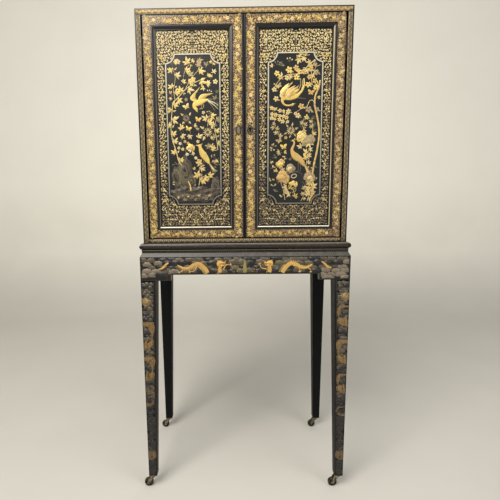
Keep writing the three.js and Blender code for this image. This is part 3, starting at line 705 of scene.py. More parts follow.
leafShape = [(0, 0), (0.22, 0.13), (0.5, 0.2), (0.78, 0.13), (1, 0), (0.76, -0.1), (0.48, -0.17), (0.2, -0.11)]
slimLeaf = [(0, 0), (0.35, 0.11), (0.75, 0.09), (1, 0), (0.7, -0.07), (0.3, -0.09)]
dotShape = [(cos(i * tau / 6), sin(i * tau / 6)) for i in range(6)]
petalShape = [(0, 0), (0.4, 0.3), (0.8, 0.33), (1, 0.12), (0.96, -0.12), (0.78, -0.33), (0.38, -0.3)]


def lobed(radius, lobes, depth=0.22, turn=0.0, steps=5, squash=1.0):
    count = lobes * steps
    angles = np.arange(count) * tau / count
    reach = radius * (1 - depth + depth * np.abs(np.cos(lobes * angles / 2)) ** 0.7)
    points = np.stack([reach * np.cos(angles), reach * np.sin(angles) * squash], -1)
    return turned(points, turn)


def addLeaves(gilt, spots, angles, sizes, tone, top=0.3, shape=leafShape):
    addShapes(gilt, stamped(shape, spots, angles, sizes), tone, top)


def addDots(gilt, spots, radius, tone, top=0.3):
    addShapes(gilt, stamped(dotShape, spots, 0.3, radius), tone, top, 0.6)


def addSpray(gilt, spot, angle, size, tone, edge=None, count=5, spread=1.9, top=0.35):
    # a star of pointed leaves, longest in the middle, with a paler edge behind it
    spot, dice = np.array(spot, float), gilt["random"]
    for i in range(count):
        share = i / (count - 1) * 2 - 1 if count > 1 else 0
        reach = size * (1.06 - 0.42 * abs(share) ** 1.3) * dice.uniform(0.86, 1.12)
        direction = angle + share * spread + dice.uniform(-0.2, 0.2)
        if edge:
            back = stepOff(spot, -size * 0.05, direction)
            addLeaves(gilt, [back], direction, reach * 1.12, edge, top - 0.12, fuller(leafShape, 0.98))
        addLeaves(gilt, [spot], direction, reach, tone, top, fuller(leafShape, 0.8))
        if size > 6:
            vein = turned([(size * 0.14, 0), (reach * 0.45, 0), (reach * 0.8, 0)], direction) + spot
            addRibbons(gilt, vein, size * 0.032, umber, top + 0.09)
    if size > 9:
        addDots(gilt, [spot], size * 0.12, red, top + 0.08)


def addBlossom(gilt, spot, radius, tone, heart, petals=5, top=0.35):
    turn = gilt["random"].uniform(0, 6)
    angles = turn + np.arange(petals) * tau / petals
    addShapes(gilt, stamped(petalShape, [spot] * petals, angles, radius), tone, top, 0.82)
    addDots(gilt, [spot], radius * 0.26, heart, top + 0.12)
    if radius > 5:
        ends = [stepOff(spot, radius * 0.5, angle) for angle in angles]
        addDots(gilt, ends, radius * 0.07, umber, top + 0.12)


def addPeony(gilt, spot, radius, tones, top=0.3):
    # a full head seen from the side: two rows of crinkled petals that overlap, each with a dark edge and a fold
    spot, dice = np.array(spot, float), gilt["random"]
    lean = dice.uniform(-0.5, 0.5)
    petal = [(0, -0.2), (0.42, -0.4), (0.72, -0.36), (0.96, -0.2), (0.9, -0.04), (1.04, 0.08),
             (0.88, 0.2), (0.9, 0.34), (0.6, 0.4), (0.36, 0.32), (0, 0.2)]
    for k, (count, share, low, high) in enumerate(((7, 1.0, -0.3, 3.44), (5, 0.62, 0.1, 3.04))):
        for i, angle in enumerate(np.linspace(low, high, count)):
            size = radius * share * dice.uniform(0.78, 1.16)
            root, level = spot - (0, k * 0.16 * radius), top + 0.06 * k + 0.01 * i
            if k or i % 2:
                addShapes(gilt, turned(petal, angle + lean) * size * 1.07 + root, umber, level, 0.98)
            addShapes(gilt, turned(petal, angle + lean) * size + root, tones[k % len(tones)], level + 0.03, 0.9)
            fold = turned([(0.5, 0.0), (0.72, 0.03), (0.9, 0.0)], angle + lean) * size + root
            addRibbons(gilt, fold, [radius * 0.02, radius * 0.05, radius * 0.02], umber, level + 0.06)
    for angle in (3.5, 4.2, 4.9, 5.7):
        addLeaves(gilt, [spot - (0, 0.1 * radius)], [angle + lean], radius * dice.uniform(0.8, 1.05), tones[-1],
                  top - 0.02)


def addMum(gilt, spot, radius, tone, heart, top=0.3):
    # narrow petals in two rings round a small heart
    spot = np.array(spot, float)
    for ring, (share, count) in enumerate(((1.0, 13), (0.62, 9))):
        angles = gilt["random"].uniform(0, 6) + np.arange(count) * tau / count
        feet = spot + np.stack([np.cos(angles), np.sin(angles)], -1) * radius * share * 0.22
        if ring:
            addLeaves(gilt, feet, angles, radius * share * 0.84, umber, top + 0.06,
                      fuller(slimLeaf, 1.1))
        addLeaves(gilt, feet, angles, radius * share * 0.78, tone, top + 0.1 * ring,
                  fuller(slimLeaf, 0.95))
    addDots(gilt, [spot], radius * 0.16, heart, top + 0.26)


def addButterfly(gilt, spot, size, angle, tone, second, top=0.35):
    spot = np.array(spot, float)
    wide = fuller(leafShape, 1.7)
    addLeaves(gilt, [spot] * 2, [angle + 0.75, angle + pi - 0.75], size, tone, top, wide)
    addLeaves(gilt, [spot] * 2, [angle - 0.5, angle + pi + 0.5], size * 0.62, second, top - 0.05, wide)
    body = turned([(0, -0.32 * size), (0, 0), (0, 0.3 * size)], angle) + spot
    addRibbons(gilt, body, [size * 0.05, size * 0.12, size * 0.07], second, top + 0.12)
    for side in (-1, 1):
        feeler = turned([(0, 0.3 * size), (side * 0.12 * size, 0.48 * size), (side * 0.26 * size, 0.56 * size)], angle)
        addRibbons(gilt, feeler + spot, 0.35, tone, top)


def addCurl(gilt, spots, angles, radius, hands, width, tone, top=0.26, twist=1.35, steps=9):
    # spirals that open from their middle, one at each spot
    share = np.linspace(0, 1, steps)
    sweep = share * twist * tau
    reach = radius * (0.16 + 0.84 * share)
    spiral = np.stack([reach * np.cos(sweep), reach * np.sin(sweep)], -1)
    paths = []
    for spot, angle, hand in zip(spots, angles, hands):
        paths.append(turned(spiral * (1, hand), angle) + spot)
    addRibbons(gilt, paths, width * (0.45 + 0.55 * np.sin(share * pi * 0.9 + 0.25)), tone, top)


def addBranch(gilt, knots, start, end, tone, top=0.3, edge=None):
    path = smooth(knots, 6)
    widths = np.linspace(start, end, len(path))
    wobble = 1 + 0.16 * np.sin(np.arange(len(path)) * 1.9)
    if edge:
        addRibbons(gilt, path, widths * wobble + 0.9, edge, top - 0.1)
    addRibbons(gilt, path, widths * wobble, tone, top)
    return path


def wing(gilt, at, size, share, root, wrist, tip, back, reach, tones, top):
    # a soft ground, long feathers off its leading edge, short ones over them, the arm on top
    size *= share
    lead = smooth([root, wrist, tip], 8)
    back = np.array(back, float)
    outward = np.array(tip, float) - np.array(wrist, float)
    outward /= np.linalg.norm(outward)

    def feather(t, share):
        start = lead[int(round(t * (len(lead) - 1)))]
        aim = back * (1 - t ** 1.4) + outward * t ** 1.4
        aim /= np.linalg.norm(aim)
        return start, aim, start + aim * reach * share * (0.62 + 0.38 * sin(pi * (0.2 + 0.75 * t)))
    trailing = [feather(t, 0.84)[2] for t in np.linspace(0.04, 0.98, 8)]
    addShapes(gilt, at(list(lead) + trailing[::-1]), tones[2], top - 0.05, 0.96)
    for row, (count, share, tone, lift) in enumerate(((12, 1.0, tones[0], 0.0), (9, 0.52, tones[1], 0.12))):
        for i, t in enumerate(np.linspace(0.04, 1.0 - 0.16 * row, count)):
            start, aim, end = feather(t, share)
            droop = np.array([aim[1], -aim[0]]) * reach * 0.05
            path = at(smooth([start, (start + end) / 2 + droop, end], 3))
            addStroke(gilt, path, (1.6 * size, 2.1 * size, 0.6 * size), tone,
                       top + lift + 0.02 * (i % 2))
    addStroke(gilt, at(lead), (6.4 * size, 4.6 * size, 1.8 * size), tones[3], top + 0.24)


# what a bird is drawn with; at() takes points about its middle to the picture
def plume(gilt, at, size, knots, steps, widths, tone, top):
    addStroke(gilt, at(smooth(knots, steps)), [width * size for width in widths], tone, top)


def trunk(gilt, at, size, knots, shares, widths, steps, tone, top):
    path = at(smooth(knots, steps))
    addRibbons(gilt, path, size * np.interp(np.linspace(0, 1, len(path)), shares, widths), tone, top)


def spotOn(gilt, at, size, spot, radius, tone, top):
    addDots(gilt, at([spot]), radius * size, tone, top)


def patchOn(gilt, at, size, outline, tone, top):
    addShapes(gilt, at(outline), tone, top)


def lobeOn(gilt, at, size, lobe, tone, top):
    addShapes(gilt, at(smooth(lobe + lobe[:1], 3)[:-1]), tone, top, 0.95)


def flecks(gilt, at, size, feet, middle, end, widths, top):
    for foot in np.array(feet, float):
        addRibbons(gilt, at([foot, foot + middle, foot + end]), [width * size for width in widths], red, top)


def legs(gilt, at, size, knots, shifts, widths, tone, top=0.3):
    for shift in shifts:
        addRibbons(gilt, at([(u + shift, v) for u, v in knots]), np.array(widths) * size, tone, top)


birds = {
    # coming down with its head bent under, both wings up and a streaming tail
    "flying": [
        *((plume, [(20, 8), bend, end], 7, (3.4, width, 1.0), tone, 0.3 + 0.03 * k)
          for k, (end, bend, tone, width) in enumerate((
              ((59, -11), (44, -1), cream, 2.6), ((57, -21), (42, -7), cream, 2.6), ((46, -27), (36, -10), dull, 1.8),
              ((48, 3), (38, 8), grey, 1.6), ((42, 12), (34, 12), grey, 1.4)))),
        (wing, 1.0, (-6, 6), (4, 22), (29, 26), (0.62, -0.72), 17, (bright, pale, red, bright), 0.34),
        (wing, 1.0, (-15, 2), (-30, 14), (-9, 38), (0.92, -0.12), 17, (bright, pale, red, bright), 0.5),
        (trunk, [(-14, -21), (-19, -13), (-15, -4), (-3, 0), (11, 5), (26, 9)],
         (0, 0.2, 0.45, 0.7, 1), (9, 13, 21, 18, 5), 4, bright, 0.66),
        (spotOn, (-13.5, -20.5), 6.0, bright, 0.7),
        (patchOn, [(-15.5, -25), (-9, -31), (-9.5, -23.5)], pale, 0.66),
        (spotOn, (-12.5, -21.5), 1.1, ink, 0.9),
        (flecks, [(-16 + 5.6 * i + 1.6 * (j % 2), -13 + 3.2 * i + 4.6 * j) for i in range(6) for j in range(3)],
         (1.7, 0.7), (3.2, 0.3), (0.4, 1.2, 0.4), 0.82),
        (legs, [(4, -6), (5, -14), (-1, -20), (-4, -19)], (0, 6), 1.2, pale),
    ],
    # wings folded back, a long neck curling under and two long tail feathers standing up
    "wheeling": [
        *((plume, knots, 6, (width * 1.5, width, width * 0.6), tone, 0.3 + 0.04 * k)
          for k, (knots, width, tone) in enumerate((
              ([(15, -4), (28, 8), (36, 26), (35, 46)], 6.4, bright),
              ([(12, 2), (20, 14), (25, 28), (24, 44)], 3.6, dull),
              ([(17, -2), (26, 8), (31, 24), (30, 42)], 2.4, pale), ([(8, 4), (13, 12), (16, 20)], 3.0, red)))),
        (trunk, [(-30, -14), (-20, -10), (-4, -10), (12, -6), (22, 0)], (0, 0.3, 0.7, 1), (12, 20, 16, 6), 5, bright,
         0.5),
        *((plume, [(-31, -10), (-32, -22), (-25, -32), (-12, -35), (2, -31)], 6, widths, tone, top)
          for widths, tone, top in (((12, 5.4, 4.6), bright, 0.56), ((1.0, 1.0, 0.8), red, 0.66))),
        (spotOn, (2, -31), 3.8, bright, 0.62),
        (patchOn, [(4, -33), (11, -29), (4, -28.5)], dull, 0.6),
        (patchOn, [(0, -34), (-5, -39), (4, -35)], red, 0.58),
        (spotOn, (3, -30.6), 0.9, ink, 0.74),
        (lobeOn, ((-38, -6), (-40, 6), (-32, 18), (-22, 27), (-11, 33), (-15, 24), (-14, 16), (-18, 6), (-22, -4)),
         bright, 0.44),
        (lobeOn, ((-24, -6), (-20, 8), (-10, 18), (9, 26), (4, 18), (4, 10), (0, 2), (-8, -6)), red, 0.48),
        (lobeOn, ((-10, -6), (-4, 6), (6, 12), (20, 14), (14, 6), (10, 0), (4, -6)), bright, 0.52),
        (wing, 1.0, (-31, -12), (-38, -2), (-8, 29), (0.8, -0.25), 18, (bright, pale, red, pale), 0.62),
        (wing, 1.0, (-17, -9), (-10, 6), (12, 21), (0.7, -0.5), 15, (bright, pale, red, pale), 0.74),
        (legs, [(14, -12), (28, -13), (42, -15)], (0,), 1.1, dull, 0.28),
    ],
    # upright with a long tail hanging behind
    "perched": [
        *((plume, [(11, -22), (18 + k, -34), (23 + 2.6 * k, -47), (27 + 4.0 * k, -62 + 3 * k)],
           5, (3.4, 2.6, 0.8), tone, 0.3 + 0.03 * k) for k, tone in enumerate((dull, red, cream, pale, dull))),
        (trunk, [(-14, 27), (-12, 18), (-7, 6), (1, -6), (9, -17), (15, -28)],
         (0, 0.2, 0.5, 0.8, 1), (9, 13, 23, 17, 6), 4, bright, 0.48),
        (spotOn, (-14.5, 27), 6.2, bright, 0.54),
        (patchOn, [(-18, 31), (-29, 30), (-18, 26)], pale, 0.46),
        (patchOn, [(-13, 32), (-5, 36), (-9, 27)], red, 0.44),
        (spotOn, (-16, 28), 1.1, ink, 0.66),
        (wing, 0.85, (-7, 13), (-4, 3), (3, -8), (0.9, -0.75), 19, (pale, bright, red, bright), 0.6),
        (flecks, [(-16 + 2.4 * i + 3.4 * j, 18 - 5.4 * i + 2 * j) for i in range(7) for j in range(2)],
         (1.0, -1.8), (1.6, -3.4), (0.4, 1.4, 0.4), 0.62),
        (legs, [(0, -12), (-3, -24), (-8, -26)], (0, 5), 1.0, dull),
    ],
    # a long-necked bird on its legs, tail sweeping down
    "crane": [
        *((plume, [(15, -20), (24 + k, -34), (30 + 2 * k, -50), (33 + 3.2 * k, -64 + 5 * k)], 5, (3.6, 3.8, 1.2), tone,
           0.32 + 0.03 * k) for k, tone in enumerate((red, bright, red, pale, dull))),
        (trunk, [(-13, 44), (-10, 36), (-13, 26), (-17, 16), (-13, 4), (-4, -6), (8, -14), (18, -26), (22, -34)],
         (0, 0.18, 0.4, 0.6, 0.78, 1), (5, 6, 10, 24, 19, 7), 4, red, 0.46),
        (spotOn, (-13.5, 43), 3.6, bright, 0.52),
        (patchOn, [(-15, 45), (-24, 42), (-15, 41)], dull, 0.44),
        (patchOn, [(-12, 46), (-8, 52), (-6, 44)], red, 0.42),
        (spotOn, (-14.5, 43.6), 0.8, ink, 0.62),
        (wing, 0.9, (-11, 6), (-4, 2), (8, -6), (0.85, -0.75), 20, (pale, red, bright, red), 0.58),
        (flecks, [(-15 + 2.4 * i, 12 - 5.6 * i) for i in range(6)], (1.4, -1.8), (1.8, -3.6), (0.5, 1.7, 0.5), 0.6),
        (legs, [(4, -16), (3, -32), (4, -48), (0, -49)], (0, 7), (1.8, 1.3, 1.3, 0.9), grey),
    ],
}


def drawBird(gilt, kind, spot, size):
    def at(points):
        return np.array(points, float) * size + spot
    for stroke, *values in birds[kind]:
        stroke(gilt, at, size, *values)


def addRock(gilt, spot, width, height, tones, seed=0, line=grey):
    # a garden rock of nested lobed rings, each with a paler line round it
    spot = np.array(spot, float)
    dice = random.Random(seed)
    outline = lobed(0.5, 7, 0.3, dice.uniform(0, 6), 5) * (width, height)
    for i, share in enumerate((1.0, 0.8, 0.6, 0.4, 0.22)):
        drift = np.array([dice.uniform(-0.05, 0.05) * width, dice.uniform(-0.04, 0.04) * height])
        ring = turned(outline * share, 0.12 * i) + spot + drift
        addShapes(gilt, ring, tones[i % len(tones)], 0.16 + 0.06 * i, 0.94)
        arc = ring[dice.randrange(8):][:24]
        addStroke(gilt, arc + (0.3, -0.3), (0.4, 0.8 + width * 0.018, 0.4), line, 0.2 + 0.06 * i)


def addClouds(gilt, inside, low, high, cell, choose, top=0.28, stretch=1.45):
    # rows of scalloped cloud heads that overlap like scales, each with a dark edge, paler rings and a curl
    dice = gilt["random"]
    scale = np.array([stretch, 1.0])
    wide, pitch = cell * stretch, cell * 0.74
    count = 36
    angles = np.arange(count) * tau / count
    rays = np.stack([np.cos(angles), np.sin(angles)], -1)
    sites = []
    for row in range(int((high[1] - low[1]) / pitch) + 2):
        for column in range(int((high[0] - low[0]) / wide) + 2):
            u = low[0] + (column + (row % 2) * 0.5 - 0.25) * wide + dice.uniform(-0.2, 0.2) * wide
            v = low[1] + (row + 0.3) * pitch + dice.uniform(-0.16, 0.16) * cell
            if inside(u, v):
                sites.append((np.array((u / stretch, v)), top + 0.05 * (3 - row % 4) + 0.012 * (column % 3)))
    for site, level in sites:
        lobes = dice.choice((7, 8, 9, 10))
        scallop = 0.8 + 0.24 * np.abs(np.cos(lobes * angles / 2 + dice.uniform(0, 6))) ** 0.7
        reach = cell * dice.uniform(0.5, 0.68) * scallop
        reach = np.minimum(reach, cell * 0.34 / np.maximum(-rays[:, 1], 0.05))
        for i in range(count):
            while reach[i] > 1.0 and not inside(*((site + rays[i] * (reach[i] + 0.4)) * scale)):
                reach[i] *= 0.88
        size = reach.mean()
        if size < cell * 0.16:
            continue
        rim = rays * reach[:, None]
        tones, lights = choose(site[0] * stretch, site[1])
        tone, light = dice.choice(tones), dice.choice(lights)
        addShapes(gilt, (site + rim) * scale + rays * 1.3, ink, level, 0.99)
        addShapes(gilt, (site + rim) * scale, tone, level + 0.006, 0.97)
        for share, first, last in ((0.74, 1, 18), (0.5, 3, 16), (0.26, 0, 18)):
            path = (site + rim[first:last] * share) * scale
            addStroke(gilt, path, (0.3, cell * 0.06, 0.3), light, level + 0.009)
        spot = (site + rays[dice.randrange(count)] * size * 0.3) * scale
        addCurl(gilt, [spot], [dice.uniform(0, 6)], size * 0.26, [dice.choice((-1, 1))], size * 0.11,
                dice.choice(lights), level + 0.011, 1.2, 8)


def runOf(start, end):
    # a strip's two ends, its length, the directions along and across it, and its bearing
    start, end = np.array(start, float), np.array(end, float)
    length = np.linalg.norm(end - start)
    along = (end - start) / length
    return start, end, length, along, np.array([-along[1], along[0]]), atan2(along[1], along[0])


def addVine(gilt, start, end, width, spacing, tones, seed=0):
    # a running vine: waving stem, bright leaf stars at its turns, small leaves and dots close between them
    start, _, length, along, across, bearing = runOf(start, end)
    dice = random.Random(seed)
    first, second, third = tones

    def at(s, t):
        return start + along * s + across * t
    turns = max(2, round(length / spacing))
    pitch = length / turns
    steps = turns * 8 + 1
    s = np.linspace(0, length, steps)
    wave = np.sin(s / pitch * pi) * width * 0.3
    addRibbons(gilt, start + s[:, None] * along + wave[:, None] * across, width * 0.05, third, 0.24)
    for i in range(turns):
        side = 1 if i % 2 == 0 else -1
        middle = (i + 0.5) * pitch
        centre = at(middle + dice.uniform(-0.16, 0.16) * pitch, dice.uniform(-0.12, 0.12) * width)
        kind = dice.random()
        if kind < 0.88:
            size = width * dice.uniform(0.46, 0.56)
            lean = bearing + side * dice.uniform(0.3, 2.4)
            tone = first if kind < 0.76 else second
            addSpray(gilt, centre, lean, size, tone, None, 5, 1.7, 0.4)
            addSpray(gilt, centre, lean + pi, size * 0.7, tone, None, 3, 0.6, 0.42)
        else:
            addBlossom(gilt, centre, width * 0.26, second, third, 6, 0.34)
        curls = [at(middle + hand * pitch * 0.5, side * hand * width * 0.22) for hand in (-1, 1)]
        addCurl(gilt, curls, [dice.uniform(0, 6) for _ in curls], width * 0.16, [1, -1], width * 0.06, first, 0.28)
    spots, angles, sizes, shades = [], [], [], []
    step = 4.4
    for i in range(int(length / step)):
        for k in range(int(width / step)):
            spots.append(at((i + dice.uniform(0.1, 0.9)) * step, (k + dice.uniform(0.15, 0.85)) * step - width / 2))
            angles.append(dice.uniform(0, tau))
            sizes.append(dice.uniform(2.5, 3.9))
            shades.append(dice.random())
    for low, high, tone in ((0, 0.42, second), (0.42, 0.7, third), (0.7, 0.84, first), (0.84, 1.01, dull)):
        chosen = [i for i, shade in enumerate(shades) if low <= shade < high]
        addLeaves(gilt, [spots[i] for i in chosen], [angles[i] for i in chosen], [sizes[i] for i in chosen], tone,
                  0.22, fuller(slimLeaf, 1.2))


def addDragonBody(gilt, knots, widths, tones, top=0.5, spines=True):
    # a scaled body along a curve: plain under layer, rows of scales over it, spines along its back
    path = smooth(knots, 7)
    steps = len(path)
    profile = np.interp(np.linspace(0, 1, steps), np.linspace(0, 1, len(widths)), widths)
    addRibbons(gilt, path, profile, tones[0], top, 0.85)
    along = np.gradient(path, axis=0)
    along /= np.maximum(np.linalg.norm(along, axis=1, keepdims=True), 1e-9)
    across = np.stack([-along[:, 1], along[:, 0]], -1)
    travelled = np.concatenate([[0], np.cumsum(np.linalg.norm(np.diff(path, axis=0), axis=1))])
    spots, angles, sizes = [], [], []
    pitch = 2.5
    for row, s in enumerate(np.arange(1, travelled[-1] - 1, pitch)):
        place = np.array([np.interp(s, travelled, path[:, i]) for i in range(2)])
        side = np.array([np.interp(s, travelled, across[:, i]) for i in range(2)])
        width = np.interp(s, travelled, profile)
        lanes = max(1, int(width / 3.0))
        for lane in range(lanes):
            t = (lane + 0.5 + (row % 2) * 0.5) / (lanes + 0.5) - 0.5
            spots.append(place + side * t * (width - 2.0))
            angles.append(atan2(-side[0], side[1]))
            sizes.append(pitch * 1.25)
        if spines and row % 2 == 0:
            tip = place + side * width * 0.46
            addLeaves(gilt, [tip], atan2(side[1], side[0]) + 0.5, width * 0.42 + 1.2, tones[2], top - 0.1)
    if spots:
        addShapes(gilt, stamped([(x - 0.5, y * 2.6) for x, y in leafShape], spots, angles, sizes), tones[1],
                  top + 0.12, 0.75)
    return path


def addDragonHead(gilt, spot, size, hand, tones, top=0.6):
    # seen from the side with an open mouth; hand 1 looks towards +u
    spot = np.array(spot, float)

    def at(points):
        return np.array(points, float) * (size * hand, size) + spot

    def aim(angle):
        return angle if hand > 0 else pi - angle
    for k in range(7):
        addLeaves(gilt, at([(-5, 2)]), aim(pi - 1.35 + 0.45 * k), size * (11.5 - k % 2 * 3), tones[k % 3],
                  top - 0.24 + 0.02 * k, leafShape)
    for k in range(2):
        horn = at(smooth([(-3, 8), (-8 - 2 * k, 12 + k), (-14 - 3 * k, 11 + 3 * k)], 4))
        addStroke(gilt, horn, (2.6 * size, 1.9 * size, 0.6 * size), tones[2 - k], top - 0.04 * k)
    addShapes(gilt, at([(-9, -6), (-11, 1), (-8, 8), (-3, 11), (2, 10.4), (5, 7.6), (9, 7), (12, 8.2), (15.5, 7),
                          (16.4, 3.4), (13, 1.4), (8, 1.4), (4, 0.4), (0, -2.2), (-3, -6.4)]), tones[0], top, 0.94)
    addShapes(gilt, at([(-6, -3), (-1, -2.8), (4, -3.2), (8, -3.8), (12.4, -2.6), (13, -5), (8.5, -7.6), (2, -9),
                          (-6, -8)]), tones[0], top - 0.06, 0.92)
    addRibbons(gilt, at(smooth([(1, -1), (7, -1.0), (12, -1.4), (16, 0.6)], 4)), 1.6 * size, red, top - 0.1)
    addRibbons(gilt, at(smooth([(-1, 9.4), (3, 8.4), (6, 7)], 4)), 1.5 * size, tones[1], top + 0.14)
    addCurl(gilt, at([(-5, 1.5)]), [aim(0.5)], 3.4 * size, [hand], 1.0 * size, tones[1], top + 0.12, 1.2, 8)
    for low in (1, -1):
        whisker = at(smooth([(13, 5), (18, 8 * low + 4), (24, 5 * low + 3)], 5))
        addStroke(gilt, whisker, (1.4 * size, 1.1 * size, 0.4 * size), tones[2], top - 0.1)
    addDots(gilt, at([(2.6, 5.6)]), 2.0 * size, umber, top + 0.2)
    addDots(gilt, at([(2.9, 5.6)]), 1.1 * size, cream, top + 0.32)


def addClaw(gilt, root, palm, size, tones, top=0.5):
    # a bent leg ending in four claws
    root, palm = np.array(root, float), np.array(palm, float)
    bend = (root + palm) / 2 + turned([(palm - root)], 1.2)[0] * 0.25
    leg = smooth([root, bend, palm], 5)
    addStroke(gilt, leg, (5 * size, 3.6 * size, 2.6 * size), tones[0], top)
    bearing = atan2(*(palm - bend)[::-1])
    addLeaves(gilt, [palm] * 4, [bearing + turn for turn in (-1.0, -0.35, 0.35, 1.0)], 8 * size, tones[1], top + 0.06)


# gilding on the door frames and panels
sideOf = {"left": -1, "right": 1}
frameBands = {
    "edge": 5.6,  # black margin along the meeting edge
    "stileIn": 33.3,
    "stileOut": 287.3,
    "outer": 312.2,
    "foot": 1.6,
    "footIn": 25.8,
    "headIn": 661.5,
    "head": 687.2,
    "lockLow": 330.5,
    "lockHigh": 358.5,
    "spacing": 26.0,
}


def gildFrame(side):
    hand = sideOf[side]
    edge, stileIn, stileOut, outer, foot, footIn, headIn, head, lockLow, lockHigh, spacing = frameBands.values()
    place = frontFace(hand * cabinet["doorEdge"], cabinet["front"], cabinet["doorFoot"], hand)
    seed = 20 if side == "left" else 60
    tones = (bright, pale, copper)
    meeting = (edge + stileIn) / 2
    hinge = (stileOut + outer) / 2
    wide = stileIn - edge - 1.5
    slim = outer - stileOut - 1.5
    headRail, footRail = (headIn + head) / 2, (foot + footIn) / 2
    runs = {
        "meeting_stile": [((meeting, foot), (meeting, lockLow), wide),
                          ((meeting, lockHigh), (meeting, head), wide)],
        "hinge_stile": [((hinge, foot), (hinge, head), slim)],
        "rails": [((stileIn + 1, headRail), (stileOut - 1, headRail), slim),
                  ((stileIn + 1, footRail), (stileOut - 1, footRail), slim - 1)],
    }
    for name, strips in runs.items():
        gilt = newRelief(seed)
        for start, end, width in strips:
            # the right door's hinge stile takes duller tones: painted shade on that side
            paintedShade = name == "hinge_stile" and side == "right"
            addVine(gilt, start, end, width, spacing, (pale, dull, copper) if paintedShade else tones, seed)
            seed += 1
        layRelief(gilt, f"{side}_door_{name}_gilding", place, f"{side}_door")


ground = {
    "halfWidth": 113.4,
    "halfHeight": 304.0,
    "fieldWidth": 87.0,
    "fieldHeight": 235.0,
    "notch": 28.0,
    "margin": 4.0,
    "curl": 8.4,  # spacing of the curls
}


def onGround(u, v, margin):
    halfWidth, halfHeight, fieldWidth, fieldHeight, notch = list(ground.values())[:5]
    u, v = abs(u), abs(v)
    if u > halfWidth - margin * 0.4 or v > halfHeight - margin * 0.4:
        return False
    if u > fieldWidth + margin or v > fieldHeight + margin:
        return True
    return hypot(u - fieldWidth, v - fieldHeight) < notch - margin


groundFlowers = [
    # u, v, size and tone of the leaf stars; each is drawn on both halves of the panel; those near the foot take duller
    # tones, a painted shade
    (92, 270, 13, straw), (94, -270, 13, dull), (99, 224, 11, bright), (99, -222, 10, pale),
    (30, 268, 10, pale), (34, -266, 10, dull), (62, 262, 9, straw), (64, -256, 9, pale),
    (100, 118, 9, bright), (102, -38, 9, pale), (100, -146, 9, dull),
]


def gildGround(side):
    halfWidth, halfHeight, _, fieldHeight, _, margin, step = ground.values()
    # painted shade: the right panel's curls are shifted to darker tones
    paintedShade = 0.3 if side == "right" else 0.05
    for half, hand in (("inner", -1), ("outer", 1)):
        gilt = newRelief(7)
        dice = gilt["random"]
        for u, v, radius, tone in groundFlowers:
            lean = dice.uniform(0.9, 2.2)
            addSpray(gilt, (u, v), lean, radius, tone, None, 5, 1.6, 0.36)
            addSpray(gilt, (u, v), lean + pi, radius * 0.7, tone, None, 3, 0.9, 0.38)
        rows, columns = int(2 * halfHeight / step), int(halfWidth / step)
        rowStep, columnStep = 2 * halfHeight / rows, halfWidth / columns
        spots, hands, turns, shades = [], [], [], []
        for row in range(rows):
            for column in range(columns):
                u = (column + 0.5) * columnStep + 0.2 * step * (-1) ** row + dice.uniform(-0.9, 0.9)
                v = -halfHeight + (row + 0.5) * rowStep + dice.uniform(-0.9, 0.9)
                clear = all(hypot(u - f[0], v - f[1]) > f[2] * 0.55 for f in groundFlowers)
                if u > 2.6 and onGround(u, v, margin) and clear:
                    spots.append(np.array([u, v]))
                    hands.append(1 if (row + column) % 2 else -1)
                    turns.append(dice.uniform(0, tau))
                    # each curl's tone runs darker towards the panel's foot and on the right door: painted shade, as if
                    # lit from above and the left
                    shades.append(dice.random() + paintedShade - 0.45 * v / halfHeight)
        for low, high, tone in ((-1, 0.66, straw), (0.66, 0.88, pale), (0.88, 1.16, dull),
                                (1.16, 2, grey)):
            chosen = [i for i, shade in enumerate(shades) if low <= shade < high]
            picked = [spots[i] for i in chosen]
            addCurl(gilt, picked, [turns[i] for i in chosen], step * 0.4, [hands[i] for i in chosen], 2.3, tone, 0.28,
                    0.8)
            leafSpots, leafTurns = [], []
            for i in chosen:
                for k in range(2):
                    angle = turns[i] + k * 3.1 + dice.uniform(-0.4, 0.4)
                    leafSpots.append(stepOff(spots[i], step * 0.4, angle))
                    leafTurns.append(angle + dice.uniform(0.5, 1.3))
            addLeaves(gilt, leafSpots, leafTurns, 3.9, tone, 0.3, fuller(leafShape, 1.7))
            addDots(gilt, picked, 1.2, tone, 0.3)
        beads = [(2.2, v) for v in np.arange(fieldHeight + 8, halfHeight - 4, 5.5)]
        addDots(gilt, beads + [(u, -v) for u, v in beads], 1.3, straw, 0.3)
        reach = (1.0, halfWidth - 0.6), (-halfHeight + 0.6, halfHeight - 0.6)
        keepWithin(gilt, *reach)
        mirrored = frontFace(sideOf[side] * cabinet["panelMiddle"], cabinet["panelFront"], cabinet["panelHeight"],
                             hand * sideOf[side])
        layRelief(gilt, f"{side}_door_panel_{half}_scrolls", mirrored, f"{side}_door")


for side in sideOf:
    gildFrame(side)
    gildGround(side)
print("door frames and panels gilded")


# the bird and flower pictures
def growTwig(gilt, knots, start, end, leaves, size, tones, edge=pale, tone=pale):
    # a twig with sprays of leaves on both sides of it
    dice = gilt["random"]
    path = addBranch(gilt, knots, start, end, tone, 0.26)
    for i in range(leaves):
        share = (i + 0.7) / leaves
        index = min(int(share * (len(path) - 1)), len(path) - 2)
        bearing = atan2(*(path[index + 1] - path[index])[::-1])
        side = 1 if i % 2 else -1
        lean = bearing + side * dice.uniform(0.7, 1.15)
        foot = path[index]
        spot = stepOff(foot, size * 0.55, lean)
        addLine(gilt, foot, spot, 0.9, tone, 0.24)
        addSpray(gilt, spot, lean, size * dice.uniform(1.1, 1.5), tones[i % len(tones)], edge, 5, 1.7)
        if i % 2:
            bud = stepOff(foot, size * 0.4, bearing - side * 0.9)
            addSpray(gilt, bud, bearing - side * 0.9, size * 0.62, tones[(i + 1) % len(tones)], edge, 3, 0.9)
    return path


def repeat(stroke, gilt, *rows):
    for row in rows:
        stroke(gilt, *row)


